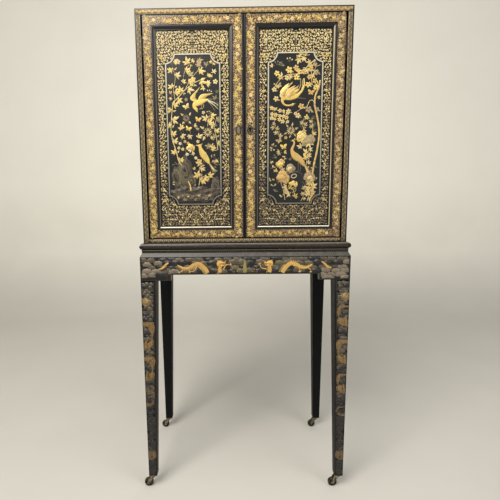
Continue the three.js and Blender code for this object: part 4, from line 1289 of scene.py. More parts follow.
def addBerries(gilt, spot, size, tone):
    for k in range(3):
        end = stepOff(spot, size, 0.6 + 0.75 * k)
        addLine(gilt, spot, end, 0.6, dull, 0.26, (0.3, 0))
        addDots(gilt, [end], size * 0.24, tone, 0.42)


def addTuft(gilt, spot, size, count, tone, heart):
    # a low plant of small blossoms and blades
    dice = gilt["random"]
    for _ in range(count):
        end = np.array(spot) + (dice.uniform(-1, 1) * size, dice.uniform(0.1, 1) * size)
        addLine(gilt, spot, end, 0.55, olive, 0.24, (0.6, 0.4))
        addBlossom(gilt, end, size * dice.uniform(0.2, 0.3), tone, heart, 5, 0.34)
    for k in range(4):
        addLeaves(gilt, [spot], 0.5 + 0.7 * k, size * 0.7, olive, 0.26, slimLeaf)


def fillGaps(gilt, across, up, clear, size, tones, edge=pale):
    # sprays of leaves wherever the lacquer is still bare
    dice = gilt["random"]
    taken = np.unique(np.round(np.concatenate(gilt["points"])[:, :2] / 1.5), axis=0) * 1.5
    for _ in range(700):
        spot = np.array((dice.uniform(-across, across), dice.uniform(*up)))
        if np.min(np.abs(taken - spot).max(1)) > clear:
            kind, lean = dice.random(), dice.uniform(0, tau)
            if kind < 0.75:
                addSpray(gilt, spot, lean, size * dice.uniform(0.85, 1.15), dice.choice(tones), edge, 5, 1.6)
                stem = stepOff(spot, -size * 0.9, lean + dice.uniform(-0.5, 0.5))
                addLine(gilt, spot, stem, 0.8, dull, 0.22, (0.6, 0.4))
            else:
                addBlossom(gilt, spot, size * 0.6, dice.choice(tones), umber)
            taken = np.concatenate([taken, spot[None]])


def keepOnField(gilt, across, up, notch):
    # draws in what crosses the border of a picture with cut-in corners
    for part in gilt["points"]:
        part[:, 0] = np.clip(part[:, 0], -across, across)
        part[:, 1] = np.clip(part[:, 1], -up, up)
        corner = np.sign(part[:, :2]) * (across, up)
        away = part[:, :2] - corner
        reach = np.linalg.norm(away, axis=1)
        near = reach < notch
        safe = np.where(reach < 1e-6, 1.0, reach)
        pushed = corner + np.where(reach[:, None] < 1e-6, -np.sign(corner) * 0.7, away / safe[:, None]) * notch
        part[near, :2] = pushed[near]


def paintMaple(gilt):
    # a rock at the foot, a maple climbing the left side, one bird coming down and one at rest
    gold = (bright, bright, pale)
    for i, u in enumerate(range(-70, 78, 18)):
        addRock(gilt, (u, -192 - abs(u) * 0.05 + (i % 3) * 5), 42, 22, (umber, umber, ink), 50 + i, olive)
        addRock(gilt, (u * 0.75, -214 + (i % 3) * 4), 40, 24, (umber, umber, ink), 20 + i, olive)
    repeat(addRock, gilt,
        ((-62, -146), 34, 74, (umber, olive, umber, ink), 5),
        ((-34, -124), 52, 108, (umber, olive, umber, olive, ink), 3),
        ((-12, -160), 28, 50, (olive, umber, ink), 6),
        ((68, -172), 34, 64, (umber, olive, umber, ink), 8))
    repeat(growTwig, gilt,
        ([(-40, -112), (-52, -92), (-60, -60), (-70, -30)], 4.2, 2.6, 3, 13, gold),
        ([(-70, -30), (-74, 10), (-70, 52), (-66, 88)], 2.6, 2.2, 5, 13.5, gold),
        ([(-66, 88), (-44, 108), (-22, 130), (2, 146), (26, 158)], 2.8, 1.4, 5, 14, gold),
        ([(-24, 130), (-8, 158), (14, 182), (24, 196)], 1.8, 1.0, 4, 13, (bright, dull)),
        ([(-58, 96), (-62, 126), (-56, 162), (-62, 192)], 1.8, 0.9, 4, 13.5, gold),
        ([(-30, 164), (-24, 186), (-8, 206)], 1.2, 0.8, 2, 14, (bright,)),
        ([(70, 66), (74, 96), (70, 124)], 1.2, 0.7, 3, 9.5, (olive, dull), None, olive),
        ([(76, -60), (72, -22), (66, 8), (74, 44)], 2.2, 1.2, 5, 11, (pale, olive, bright)),
        ([(12, -172), (16, -150), (14, -124), (22, -104)], 2.6, 1.2, 4, 13, gold),
        ([(14, -150), (32, -142), (46, -146)], 1.4, 0.8, 2, 13, (bright,)),
        ([(76, -58), (64, -60), (52, -44)], 1.8, 1.2, 2, 12, (bright, olive)))
    addBranch(gilt, [(-14, -196), (-16, -174), (-22, -158)], 6.4, 3.2, bright, 0.36, cream)
    repeat(addSpray, gilt,
        ((44, 200), 2.2, 12, dull, grey),
        ((66, 178), 1.2, 12, bright, cream),
        ((20, 214), 0.2, 13, red, dull),
        ((44, 142), 0.6, 15, bright, cream, 6, 1.5),
        ((34, 132), 3.6, 12, bright, cream))
    for spot, radius in (((44, -4), 19), ((-24, 40), 15)):
        addMum(gilt, spot, radius * 0.85, pale if radius > 16 else dull, umber)
        for angle in (0.8, 2.4, 4.1, 5.4):
            addSpray(gilt, stepOff(spot, radius * 0.9, angle), angle, radius * 0.6, bright, cream, 3, 0.7, 0.28)
    growTwig(gilt, [(44, 14), (46, 34), (52, 50)], 1.4, 0.8, 3, 12, (bright, pale))
    addBerries(gilt, (50, 116), 9, cream)
    addBerries(gilt, (48, 52), 9, pale)
    addPeony(gilt, (-12, -54), 14, (bright, red, cream))
    for k, spot in enumerate(((-46, -38), (-38, -56), (-30, -32), (4, -84), (-4, -70), (14, -92), (-24, -72),
                              (-50, -52), (-20, -38))):
        addBlossom(gilt, spot, 5.6, (cream, pale, red)[k % 3], umber)
    addBranch(gilt, [(-30, -96), (-26, -70), (-36, -48), (-44, -26)], 1.4, 0.7, dull, 0.22)
    addBranch(gilt, [(-26, -72), (-8, -74), (8, -88)], 1.2, 0.7, dull, 0.22)
    drawBird(gilt, "flying", (22, 88), 1.0)
    drawBird(gilt, "perched", (32, -74), 1.02)
    addSpray(gilt, (14, -20), 1.2, 17, bright, cream, 4, 1.3)
    for spot, size, angle, tone in (((-22, 74), 15, 0.4, pale), ((14, 34), 14, -0.2, bright),
                                    ((-18, 6), 14, -0.3, bright)):
        addButterfly(gilt, spot, size, angle, tone, red)
    for k, spot in enumerate(((-66, -106), (-54, -108), (-70, -170), (-50, -172), (0, -172), (16, -186), (60, -120),
                              (74, -108), (64, -84))):
        addTuft(gilt, spot, 9, 3, (grey, dull, cream)[k % 3], umber)
    for k in range(11):
        spot = (-58 + 11.6 * k, -214 + 7 * sin(k * 2.3))
        addSpray(gilt, spot, 1.57, 8 + k % 3, (straw, grey, dull)[k % 3], None, 5, 1.7, 0.5)
        addDots(gilt, [np.array(spot) + (5, 6)], 1.3, straw, 0.5)


def paintPeony(gilt):
    # a tall stem on the right, peonies over a dark rock, one bird wheeling above and a crane below
    dice = gilt["random"]
    for knots, start, end in (([(62, -226), (62, -180), (60, -140), (66, -100)], 6.5, 5.6),
                              ([(66, -100), (74, -60), (79, -16), (75, 22), (66, 60), (62, 76)], 5.4, 5.0),
                              ([(62, 76), (64, 104), (74, 128), (78, 150)], 4.8, 4.2)):
        addBranch(gilt, knots, start, end, red, 0.34, pale)
    addBranch(gilt, [(63, 78), (56, 90), (46, 88), (38, 72), (20, 64), (-2, 52)], 2.6, 1.0, pale, 0.3)
    repeat(growTwig, gilt,
        ([(64, 214), (44, 198), (28, 182), (12, 170), (-22, 168), (-46, 156), (-66, 132)], 3.4, 1.2, 6, 9.5,
         (red, pale, bright), pale),
        ([(62, 210), (52, 190), (50, 160), (54, 138), (66, 126)], 2.2, 1.0, 4, 9, (red, bright)),
        ([(78, 196), (64, 190), (58, 176)], 1.6, 0.8, 2, 9, (dull, bright)),
        ([(44, 226), (26, 222), (8, 218)], 1.6, 0.8, 4, 10, (bright, pale)))
    blossoms = [
        (-46, 200, 8, olive), (-20, 182, 11, bright), (2, 188, 9, red), (-58, 172, 9, bright),
        (-48, 160, 8, red), (-26, 158, 8, pale), (4, 160, 10, bright), (24, 176, 9, red),
        (48, 184, 9, red), (66, 174, 9, dull), (44, 160, 8, red), (62, 148, 9, red),
        (40, 137, 9, bright), (64, 128, 8, bright), (-66, 124, 8, pale), (-60, 96, 9, pale),
        (20, 72, 10, red), (44, 62, 11, dull), (10, 44, 9, pale), (38, 38, 7, pale),
        (-20, 58, 8, pale), (2, 50, 6, pale), (70, 62, 8, dull),
    ]
    for u, v, radius, tone in blossoms:
        addBlossom(gilt, (u, v), radius, tone, umber if tone != umber else pale)
        addSpray(gilt, (u + radius * 0.7, v - radius * 0.4), -0.4, radius * 0.8, pale, None, 3, 0.7, 0.24)
    addBranch(gilt, [(-80, 76), (-66, 56), (-48, 44), (-30, 40)], 1.6, 0.8, dull, 0.22)
    for k in range(15):
        u = -74 + (k % 5) * 12.5 + dice.uniform(-2, 2)
        v = 66 - (k // 5) * 15 - (k % 5) * 3 + dice.uniform(-2, 2)
        addBlossom(gilt, (u, v), dice.uniform(5.0, 7.4), (bright, pale, pale)[k % 3],
                   umber)
        addLeaves(gilt, [(u, v)], dice.uniform(0, 6), 10, pale, 0.24)
    repeat(growTwig, gilt,
        ([(-44, -30), (-52, -10), (-62, 6), (-72, 18)], 1.4, 0.7, 5, 8, (pale, pale), None),
        ([(24, -6), (30, 12), (26, 32)], 1.4, 0.7, 5, 8.5, (pale, olive, pale), None),
        ([(56, -10), (58, 14), (54, 36)], 1.4, 0.7, 5, 8, (olive, pale), None))
    addMum(gilt, (-12, -2), 15, pale, grey)
    for angle in (0.3, 1.3, 2.3, 3.6, 4.6, 5.5):
        addSpray(gilt, stepOff((-12, -2), 15, angle), angle, 10, pale, None, 3, 0.6, 0.24)
    addPeony(gilt, (24, -20), 20, (bright, pale, bright))
    addPeony(gilt, (46, -36), 22, (dull, dull, pale))
    growTwig(gilt, [(40, -110), (42, -84), (46, -62)], 1.8, 1.1, 5, 10, (pale, bright), pale)
    addSpray(gilt, (22, -52), 2.9, 13, pale, pale)
    addSpray(gilt, (60, -14), 0.6, 11, bright, pale)
    drawBird(gilt, "crane", (10, -78), 1.04)
    drawBird(gilt, "wheeling", (-8, 110), 1.0)
    for spot, size, angle, tone in (((-48, -34), 14, 0.5, dull), ((-34, -54), 15, 0.1, bright),
                                    ((-50, 134), 13, 0.5, dull), ((50, 112), 15, -0.2, red),
                                    ((38, 40), 9, 0.7, bright)):
        addButterfly(gilt, spot, size, angle, tone, red)
    stone = [(-24, -150), (-16, -136), (0, -131), (16, -133), (30, -140), (36, -160), (30, -188), (20, -214),
             (14, -230), (-4, -230), (-12, -206), (-22, -180)]
    addShapes(gilt, smooth(stone + stone[:1], 4)[:-1], ink, 0.3, 0.95)
    for arc, tone in ((((-24, -152), (-17, -137), (0, -131), (17, -133), (30, -142)), grey),
                      (((-18, -156), (-12, -143), (2, -137)), umber), (((24, -140), (32, -156), (31, -172)), umber),
                      (((26, -164), (34, -170), (32, -180), (24, -184)), grey),
                      (((-20, -182), (-12, -204), (-6, -226)), umber)):
        line = smooth(list(arc), 5)
        addStroke(gilt, line, (0.8, 2.0, 0.8), tone, 0.4)
    hole = circle(25)
    addRibbons(gilt, turned(hole * (8.5, 6.0), 0.3) + (0, -145), 2.4, cream, 0.46)
    addRibbons(gilt, turned(hole * (3.6, 6.5), -0.4) + (3, -190), 1.6, pale, 0.46)
    addShapes(gilt, lobed(10, 6, 0.1) * (1.15, 0.56) + (-7, -168), bright, 0.44)
    growTwig(gilt, [(-28, -222), (-34, -190), (-46, -150), (-42, -118)], 1.8, 1.0, 3, 10, (pale, olive), None)
    repeat(addPeony, gilt,
        ((-44, -106), 15, (red, bright, red)),
        ((-13, -122), 17, (dull, pale, dull)),
        ((-38, -150), 23, (red, red, dull)),
        ((52, -152), 20, (dull, pale, dull)),
        ((0, -172), 12, (bright, pale)))
    repeat(growTwig, gilt,
        ([(2, -226), (-8, -200), (-20, -178)], 1.8, 1.0, 4, 12, (bright, pale), pale),
        ([(44, -226), (54, -196), (58, -172)], 2.2, 1.2, 6, 11, (bright, pale, red)),
        ([(24, -226), (34, -204), (38, -186)], 1.4, 0.8, 4, 8, (pale,), None))
    for k, spot in enumerate(((-74, -64), (-66, -52), (-68, -88), (-72, -122), (-66, -178), (-56, -196), (-70, -160),
                              (-40, -212), (-12, -96), (-26, -92), (48, -126), (72, -120), (70, -160))):
        addTuft(gilt, spot, 10, 4, (pale, pale, grey)[k % 3], umber)
    addBerries(gilt, (-58, 196), 12, grey)
    addBerries(gilt, (-20, 206), 11, pale)


pictures = {"left": (paintMaple, 101), "right": (paintPeony, 102)}
for side, (paint, seed) in pictures.items():
    gilt = newRelief(seed)
    paint(gilt)
    for clear, size in ((11, 14), (7.6, 9.5)):
        # the right picture's filler sprays take duller tones than the left's: painted shade on the right door
        fillGaps(gilt, 74, (-190 if side == "right" else -120, 216), clear, size,
                 (pale, dull, bright, red, dull) if side == "right"
                 else (bright, bright, pale, red, dull))
    keepOnField(gilt, ground["fieldWidth"] - 5, ground["fieldHeight"] - 5, ground["notch"])
    place = frontFace(sideOf[side] * cabinet["panelMiddle"], cabinet["fieldFront"], cabinet["panelHeight"])
    layRelief(gilt, f"{side}_door_picture", place, f"{side}_door")
print("pictures painted")


# sides of the cabinet: a larger picture of each kind in a leafy border
flank = {"half": 179.0, "low": -361.0, "high": 361.0, "height": 1.2605, "depth": 0.002, "border": 15.0, "scale": 1.5}


def dressFlank(side, paint, seed):
    place = flankFace(sideOf[side], cabinet["halfBox"], flank["depth"], flank["height"])
    gilt = newRelief(seed)
    paint(gilt)
    gilt["points"] = [part * (flank["scale"], flank["scale"] * 0.95, 1.0) for part in gilt["points"]]
    fillGaps(gilt, 140, (-300, 325), 15, 17, (bright, pale, red, dull))
    inner = flank["half"] - 2 * flank["border"]
    keepWithin(gilt, (-inner, inner), (flank["low"] + 2 * flank["border"], flank["high"] - 2 * flank["border"]))
    layRelief(gilt, f"cabinet_{side}_picture", place)
    gilt = newRelief(seed + 1)
    u, low, high = flank["half"] - flank["border"] * 0.6, flank["low"], flank["high"]
    tones = (dull, pale, red)
    for start, end in (((-u, low), (-u, high)), ((u, low), (u, high)),
                       ((-u + 9, high - 8), (u - 9, high - 8)), ((-u + 9, low + 8), (u - 9, low + 8))):
        addVine(gilt, start, end, flank["border"], 26, tones, seed)
        seed += 1
    frame = flank["half"] - flank["border"] - 4
    corners = [(-frame, low + 22), (frame, low + 22), (frame, high - 22), (-frame, high - 22), (-frame, low + 22)]
    for start, end in zip(corners, corners[1:]):
        addLine(gilt, start, end, 1.6, grey, 0.24)
    keepWithin(gilt, (-flank["half"] + 1, flank["half"] - 1), (flank["low"], flank["high"]))
    layRelief(gilt, f"cabinet_{side}_border", place)


dressFlank("left", paintMaple, 500)
dressFlank("right", paintPeony, 540)
print("sides of the cabinet painted")


# running scrolls on the edges of the cabinet's boards
def addRunning(gilt, start, end, width, tones, ground=None):
    # a strip of paint with a running scroll of leaves on it
    start, end, length, along, across, bearing = runOf(start, end)
    count = round(length / (width * 0.72))
    pitch = length / count
    if ground:
        strip = np.linspace(0, 1, 24)[:, None] * (end - start) + start
        addRibbons(gilt, strip, width * 0.96, ground, 0.16, 0.97)
        for hand in (-1, 1):
            addRibbons(gilt, strip + across * hand * width * 0.43, width * 0.07, tones[1], 0.3)
    spots = [start + along * (i + 0.5) * pitch + across * width * 0.08 * (-1) ** i for i in range(count)]
    hands = [(-1) ** i for i in range(count)]
    addCurl(gilt, spots, [bearing + 1.6 * hand for hand in hands], width * 0.32, hands, width * 0.12, tones[0], 0.3)
    leafSpots = [start + along * i * pitch + across * width * 0.2 * (-1) ** i for i in range(1, count)]
    addLeaves(gilt, leafSpots, [bearing + (-1) ** i * 0.9 for i in range(1, count)], width * 0.34, tones[1], 0.32)
    addLeaves(gilt, leafSpots, [bearing + pi + (-1) ** i * 0.6 for i in range(1, count)], width * 0.28, tones[0],
              0.3)
    dots = [start + along * i * pitch - across * width * 0.26 * (-1) ** i for i in range(1, count)]
    addDots(gilt, dots, width * 0.1, umber if ground else tones[1], 0.32)


edgeScroll = {"side": 326.3, "width": 12.0, "low": 884.5, "high": 1591.0, "head": 1600.5, "foot": 891.3}
gilt = newRelief(11)
scrollTones = (pale, dull)
for hand in (-1, 1):
    addRunning(gilt, (hand * edgeScroll["side"], edgeScroll["low"]), (hand * edgeScroll["side"], edgeScroll["high"]),
               edgeScroll["width"], (dull, pale), umber)
addRunning(gilt, (-334, edgeScroll["head"]), (334, edgeScroll["head"]), 13.5, scrollTones, bronze)
addRunning(gilt, (-318, edgeScroll["foot"]), (318, edgeScroll["foot"]), 12.5, (dull, red), umber)
addDots(gilt, [(u, edgeScroll["foot"] + 2.0) for u in np.arange(-312, 316, 6.5)], 1.7, cream, 0.4)
addLine(gilt, (-318, edgeScroll["foot"] - 5.2), (318, edgeScroll["foot"] - 5.2), 2.0, ink, 0.42)
layRelief(gilt, "cabinet_edge_scrolls", frontFace(0, cabinet["front"]))
print("edge scrolls laid")


# frieze of dragons and clouds
frieze = {"low": 779.0, "earLow": 758.5, "top": 838.7, "margin": 4.0, "cell": 18.0}


def friezeTones(u, v):
    # mossy in the middle, greyer towards the corners
    if abs(u) < 225:
        return (olive, cloud, cloud), (umber, moss, umber)
    return (grey, cloud, grey), (umber, olive, umber)


def onFrieze(u, v, half, ear, inset):
    low = frieze["low"] if abs(u) < ear + inset else frieze["earLow"]
    return abs(u) < half - inset and low + inset < v < frieze["top"] - inset * 0.6


def layFrieze(name, place, half, ear, seed, withDragons):
    gilt = newRelief(seed)
    dice = gilt["random"]
    addClouds(gilt, lambda u, v: onFrieze(u, v, half, ear, frieze["margin"]), (-half, frieze["earLow"]),
              (half, frieze["top"]), frieze["cell"], friezeTones, 0.22, 1.75)
    edge = frieze["margin"] * 0.5
    low, earLow, top = frieze["low"], frieze["earLow"], frieze["top"]
    border = [(-half + edge, top - edge), (-half + edge, earLow + edge), (-ear - edge, earLow + edge),
              (-ear - edge, low + edge), (ear + edge, low + edge), (ear + edge, earLow + edge),
              (half - edge, earLow + edge), (half - edge, top - edge)]
    for a, b in zip(border, border[1:]):
        addLine(gilt, a, b, 0.8, umber, 0.25)
    if withDragons:
        gold = (dragonGold, red, bright)
        for hand in (-1, 1):
            def at(*points):
                return [(hand * u, v) for u, v in points]
            addDragonBody(gilt, at((82, 785), (84, 796), (80, 806)), (13, 11, 9), gold)
            addShapes(gilt, lobed(12, 10, 0.16) + (hand * 83, 815), dragonGold, 0.62, 0.9)
            addDragonHead(gilt, (hand * 79, 814), 0.92, -hand, gold, 0.8)
            addDragonBody(gilt, at((124, 784), (136, 802), (152, 815), (170, 812), (186, 802), (202, 800),
                                   (216, 806), (224, 812)), (15, 15, 14, 12, 9, 7, 3), gold)
            addDragonBody(gilt, at((254, 820), (264, 813), (274, 803), (288, 797)), (4, 7, 7, 3), gold)
            addClaw(gilt, (hand * 72, 796), (hand * 50, 812), 1.0, gold)
            addClaw(gilt, (hand * 160, 808), (hand * 182, 790), 1.0, gold)
            addClaw(gilt, (hand * 206, 800), (hand * 218, 788), 0.8, gold)
        tower = smooth([(-6.5, 785), (-6, 800), (-4.6, 812), (-2.4, 820), (0, 828)], 3)
        addShapes(gilt, np.concatenate([tower, (tower * (-1, 1))[::-1][1:]]), moss, 0.7, 0.95)
        for v, width in ((786, 15), (794, 11.5), (802, 10.5), (810, 8.5), (817, 6)):
            addLine(gilt, (-width / 2, v), (width / 2, v), 1.2, dull, 0.82, (0, -0.8))
        for _ in range(26):
            u = dice.choice((-1, 1)) * dice.uniform(14, 44)
            addDots(gilt, [(u, dice.uniform(785, 803))], dice.uniform(0.9, 1.6), red, 0.6)
        lowest = np.where(np.abs(np.concatenate(gilt["points"])[:, 0]) < ear, low, earLow) + 1.2
        split = np.cumsum([len(part) for part in gilt["points"]])[:-1]
        gilt["points"] = [np.stack([part[:, 0], np.clip(part[:, 1], floor, top - 1), part[:, 2]], -1)
                            for part, floor in zip(gilt["points"], np.split(lowest, split))]
    layRelief(gilt, name, place)


# each apron's face, half its width and where its ears begin
aprons = {
    "front": (frontFace(0, cabinet["standFront"]), 350.0, 247.5),
    "left": (flankFace(-1, cabinet["halfStand"]), 190.0, 87.5),
    "right": (flankFace(1, cabinet["halfStand"]), 190.0, 87.5),
}
for seed, (name, (place, half, ear)) in enumerate(aprons.items(), 300):
    layFrieze(f"frieze_{name}", place, half, ear, seed, name == "front")


# front legs: coils of a dragon among small clouds
leg = {"top": 756.0, "foot": 40.0, "topWidth": 51.0, "footWidth": 29.0, "low": 36.0, "high": 758.2, "cell": 13.0,
       "share": 0.83, "dimFrom": 330.0}
# how far below the leg's top a coil begins, how high it is, how thick it is at its head and foot, and its tone; the
# lowest coil's darker tone is painted shade towards the foot
legCoils = {
    "left": (((140, 99, 22, 24, bronze), (264, 91, 24, 27, bronze), (388, 62, 12, 11, rust)), 70),
    "right": (((86, 74, 9, 26, bronze), (206, 88, 20, 24, bronze), (330, 73, 10, 26, bronze),
               (452, 36, 5, 7, rust)), 56),
}


def legWidth(v):
    share = (leg["high"] - v) / (leg["high"] - leg["low"])
    return leg["topWidth"] + (leg["footWidth"] - leg["topWidth"]) * share


def layLeg(name, place, seed, coils, pearlDrop):
    # clouds down the outer part of the face, with the coils of a dragon coming out of them
    gilt = newRelief(seed)

    def inside(u, v):
        return 1.6 < u < legWidth(v) * leg["share"] and leg["foot"] < v < leg["top"]
    # below the height where the painted shade begins, the clouds take dark fills: painted shade down the leg
    addClouds(gilt, inside, (0, leg["foot"]), (leg["topWidth"], leg["top"]), leg["cell"],
              lambda u, v: ((cloud, umber), (umber, grey, umber)) if v > leg["dimFrom"]
              else ((ink,), (cloud, umber, umber)), 0.16, 1.25)
    # a paler line down the face's moulded inner edge, a painted highlight, and a dark line beside it
    for share, width, tone in ((leg["share"] + 0.035, 0.9, cloud), (0.96, 0.7, umber)):
        edge = [(legWidth(v) * share, v) for v in np.linspace(leg["foot"] - 2, leg["top"], 10)]
        addRibbons(gilt, edge, width, tone, 0.22)
    wide = legWidth(leg["top"]) * leg["share"]
    pearl = np.array((wide * 0.34, leg["top"] - pearlDrop))
    for k in range(9):
        addLeaves(gilt, [pearl], 0.7 * k + 0.3, 20 - 3 * (k % 3), (dull, bronze, grey)[k % 3],
                  0.4 + 0.01 * k, leafShape)
    addShapes(gilt, lobed(15.5, 9, 0.1) * (1, 1.12) + pearl, bronze, 0.56)
    addShapes(gilt, lobed(10.5, 7, 0.12) + pearl + (0, 4), dull, 0.6)
    for k in range(5):
        addCurl(gilt, [pearl + (-7 + 3.6 * k, 9 - 5 * k)], [1.2 * k], 3.8, [(-1) ** k], 1.4, umber, 0.68, 1.2, 9)
    addDots(gilt, [pearl + (4, 6)], 1.4, cream, 0.74)
    for drop, high, head, foot, tone in coils:
        v = leg["top"] - drop
        width = legWidth(v - high / 2) * leg["share"] - 1
        side = (head + foot) * 0.22
        outer = smooth([(max(0.4, width * a), v - b * high) for a, b in (
            (0, 0.02), (0.55, -0.01), (0.9, 0.03), (1, 0.3), (0.9, 0.6), (0.94, 0.82), (0.5, 1), (0, 1.02))], 5)
        inner = smooth([(0.4, v - head * 0.7), (width * 0.42, v - head * 0.86), (width * 0.68, v - head * 1.15),
                        (width - side * 0.9, v - 0.42 * high), (width - side * 0.7, v - 0.56 * high),
                        (width * 0.62, v - high + foot * 1.2), (width * 0.34, v - high + foot * 1.05),
                        (0.4, v - high + foot * 1.5)], 5)
        middle, widths = (outer + inner) / 2, np.linalg.norm(outer - inner, axis=1)
        addRibbons(gilt, middle, widths, tone, 0.5, 0.9)
        addRibbons(gilt, outer * 0.94 + inner * 0.06, 1.6, umber, 0.6)
        for k, along in enumerate(np.linspace(0.1, 0.9, 9)):
            index = int(along * (len(outer) - 1))
            toward = middle[index] - outer[index]
            lean = atan2(toward[1], toward[0])
            addLeaves(gilt, [outer[index] - toward * 0.1], [lean + 0.5 * (-1) ** k], 7, ink, 0.64)
            addLeaves(gilt, [middle[index]], [lean + 1.5], 6, (dull, rust)[k % 2], 0.6)
        for share in (0.36, 0.66):
            row = outer * share + inner * (1 - share)
            addDots(gilt, row[1:-1:2], 1.0, (dull, umber)[share < 0.5], 0.6)
        for k in range(3, len(outer) - 3, 4):
            addRibbons(gilt, [outer[k], middle[k], inner[k]], [1.2, 0.7, 0.4], umber, 0.58)
        for k in (0.16, 0.34, 0.52, 0.7):
            fin = outer[int(k * len(outer))]
            addLeaves(gilt, [fin], [1.1 - 2.6 * k], 6.5, umber, 0.66)
    claw = np.array((legWidth(leg["foot"] + 78) * leg["share"] * 0.42, leg["foot"] + 82))
    addLeaves(gilt, [claw + (1, -26)] * 3, (1.25, 1.65, 2.1), 44, rust, 0.5, fuller(leafShape, 1.7))
    addShapes(gilt, lobed(4.2, 5, 0.2) * (0.8, 1.6) + claw + (2, -12), ink, 0.72)
    for k in range(3):
        addCurl(gilt, [claw + (-2 + 2 * k, 8 - 7 * k)], [1.2 * k], 2.6, [1], 0.8, umber, 0.74, 1.1, 8)
    rim = smooth([claw + (-5, 26), claw + (7, 12), claw + (7, -10), claw + (-2, -28)], 5)
    addStroke(gilt, rim, (0.6, 1.8, 0.6), grey, 0.62)
    keepWithin(gilt, (0.8, 99), (0, 999))
    for part in gilt["points"]:
        part[:, 0] = np.minimum(part[:, 0], legWidth(part[:, 1]) * 0.97)
    layRelief(gilt, name, place)


for side, hand in sideOf.items():
    corner = (cabinet["middle"] + hand * cabinet["halfStand"], cabinet["standFront"], cabinet["level"])
    layLeg(f"front_{side}_leg_gilding", flatFace(corner, (-hand, 0, 0), (0, -1, 0)), 400, *legCoils[side])
    layLeg(f"front_{side}_leg_side_gilding", flatFace(corner, (0, 1, 0), (hand, 0, 0)), 402, *legCoils[side])
print("stand gilded")


# foot moulding: a strip on the upper part of the torus, topped by a painted highlight line, and a dashed line on the
# fillet
torus = {"radius": 10.0, "inset": 3.0, "height": 873.0, "line": 9.4, "dash": 4.2, "chord": 0.1,
         "fillet": 0.006}  # metres from the cabinet's faces out to the fillet


def torusFace(origin, right, out):
    origin, right, out = (np.array(part, float) for part in (origin, right, out))

    def place(points):
        angle = points[:, 1:2] / torus["radius"]
        reach = (torus["radius"] + torus["chord"] + points[:, 2:]) * mm
        around = np.cos(angle) * out + np.sin(angle) * np.array((0, 0, 1))
        return origin + points[:, :1] * mm * right + reach * around
    place.turned = float(np.dot(np.cross(right, (0, 0, 1)), out)) < 0
    return place


def layMoulding(name, place, length, fillet):
    gilt = newRelief(17)
    run = np.linspace(-length / 2 + 4, length / 2 - 4, 24)
    # a pale grey painted highlight along the torus's top, with a dark line just under it
    for v, width, tone in ((torus["line"], 1.3, paintedHighlight), (torus["line"] - 1.9, 1.0, ink)):
        addRibbons(gilt, np.stack([run, np.full(24, v)], -1), width, tone, 0.3)
    count = int(length / 5.2)
    for row, (rise, tone) in enumerate(((0.4, rust), (-3.6, umber))):
        spots = [(-length / 2 + 7 + (i + 0.5 * (row % 2)) * (length - 18) / count, torus["dash"] + rise)
                 for i in range(count + 1)]
        lean = 0.4 * (-1) ** row
        addShapes(gilt, stamped([(-2.2, 0.2), (-0.4, -1.2), (2.2, -0.2), (0.4, 1.2)], spots, lean, 1.0), tone, 0.26)
        addDots(gilt, np.array(spots) + (2.6, 0.9 * (-1) ** row), 0.6, dull, 0.26)
    layRelief(gilt, name, place)
    gilt = newRelief(18)
    count = int(length / 6.0)
    spots = [(-length / 2 + (i + 0.5) * length / count, 855.0) for i in range(count)]
    addShapes(gilt, stamped([(-2.2, 0), (0, -0.8), (2.2, 0), (0, 0.8)], spots, 0.0, 1.0), bronze, 0.2)
    addRibbons(gilt, np.stack([np.linspace(-length / 2, length / 2, 24), np.full(24, 860.2)], -1), 2.2, grey,
               0.2)
    layRelief(gilt, name + "_dashes", fillet)


mouldingHeight = cabinet["level"] + torus["height"] * mm
inset = torus["inset"] * mm
layMoulding("moulding_scroll_front",
            torusFace((cabinet["middle"], cabinet["front"] - inset, mouldingHeight), (1, 0, 0), (0, -1, 0)),
            690, frontFace(0, cabinet["front"] - torus["fillet"]))
for side, hand in sideOf.items():
    origin = (cabinet["middle"] + hand * (cabinet["halfBox"] + inset), 0.0, mouldingHeight)
    layMoulding(f"moulding_scroll_{side}", torusFace(origin, (0, hand, 0), (hand, 0, 0)), 356,
                flankFace(hand, cabinet["halfBox"] + torus["fillet"]))
print("moulding gilded")


# screws in the brass and iron, and pins with a dark edge at the escutcheons
screws = {
    "radius": 2.3,
    "flush": 0.12,  # how far a countersunk head stands out
    "hingeFace": 0.3165,  # the cabinet leaf's bare face; the door leaf's is 0.4 mm further out on the door
    "doorFace": 0.3161,
    "hingeDepth": -0.1672,
    "hingeFeet": (974.0, 1482.5),
    "hingeHeights": (11.0, 31.5, 52.0),
    "plateFace": -0.1552,
    "plateHeights": (924.8, 978.2, 1541.3, 1594.7),
    "caseFace": -0.155,
    "castorFace": 0.0479,
    "castorSpread": 11.2,
    "keyHeight": 1259.75,
}


def addScrews(gilt, spots, radius, top):
    # round heads, each with a slot turned its own way
    rim = circle(14, False) * radius
    for spot in spots:
        lean = gilt["random"].uniform(0, pi)
        addShapes(gilt, rim + spot, screwBrass, top, 0.84)
        slot = turned([(-radius * 0.72, 0), (0, 0), (radius * 0.72, 0)], lean) + spot
        addRibbons(gilt, slot, radius * 0.22, ink, top + 0.06)


def laySpots(name, body, place, spots, radius, top, seed):
    gilt = newRelief(seed)
    addScrews(gilt, spots, radius, top)
    layRelief(gilt, name, place, body)


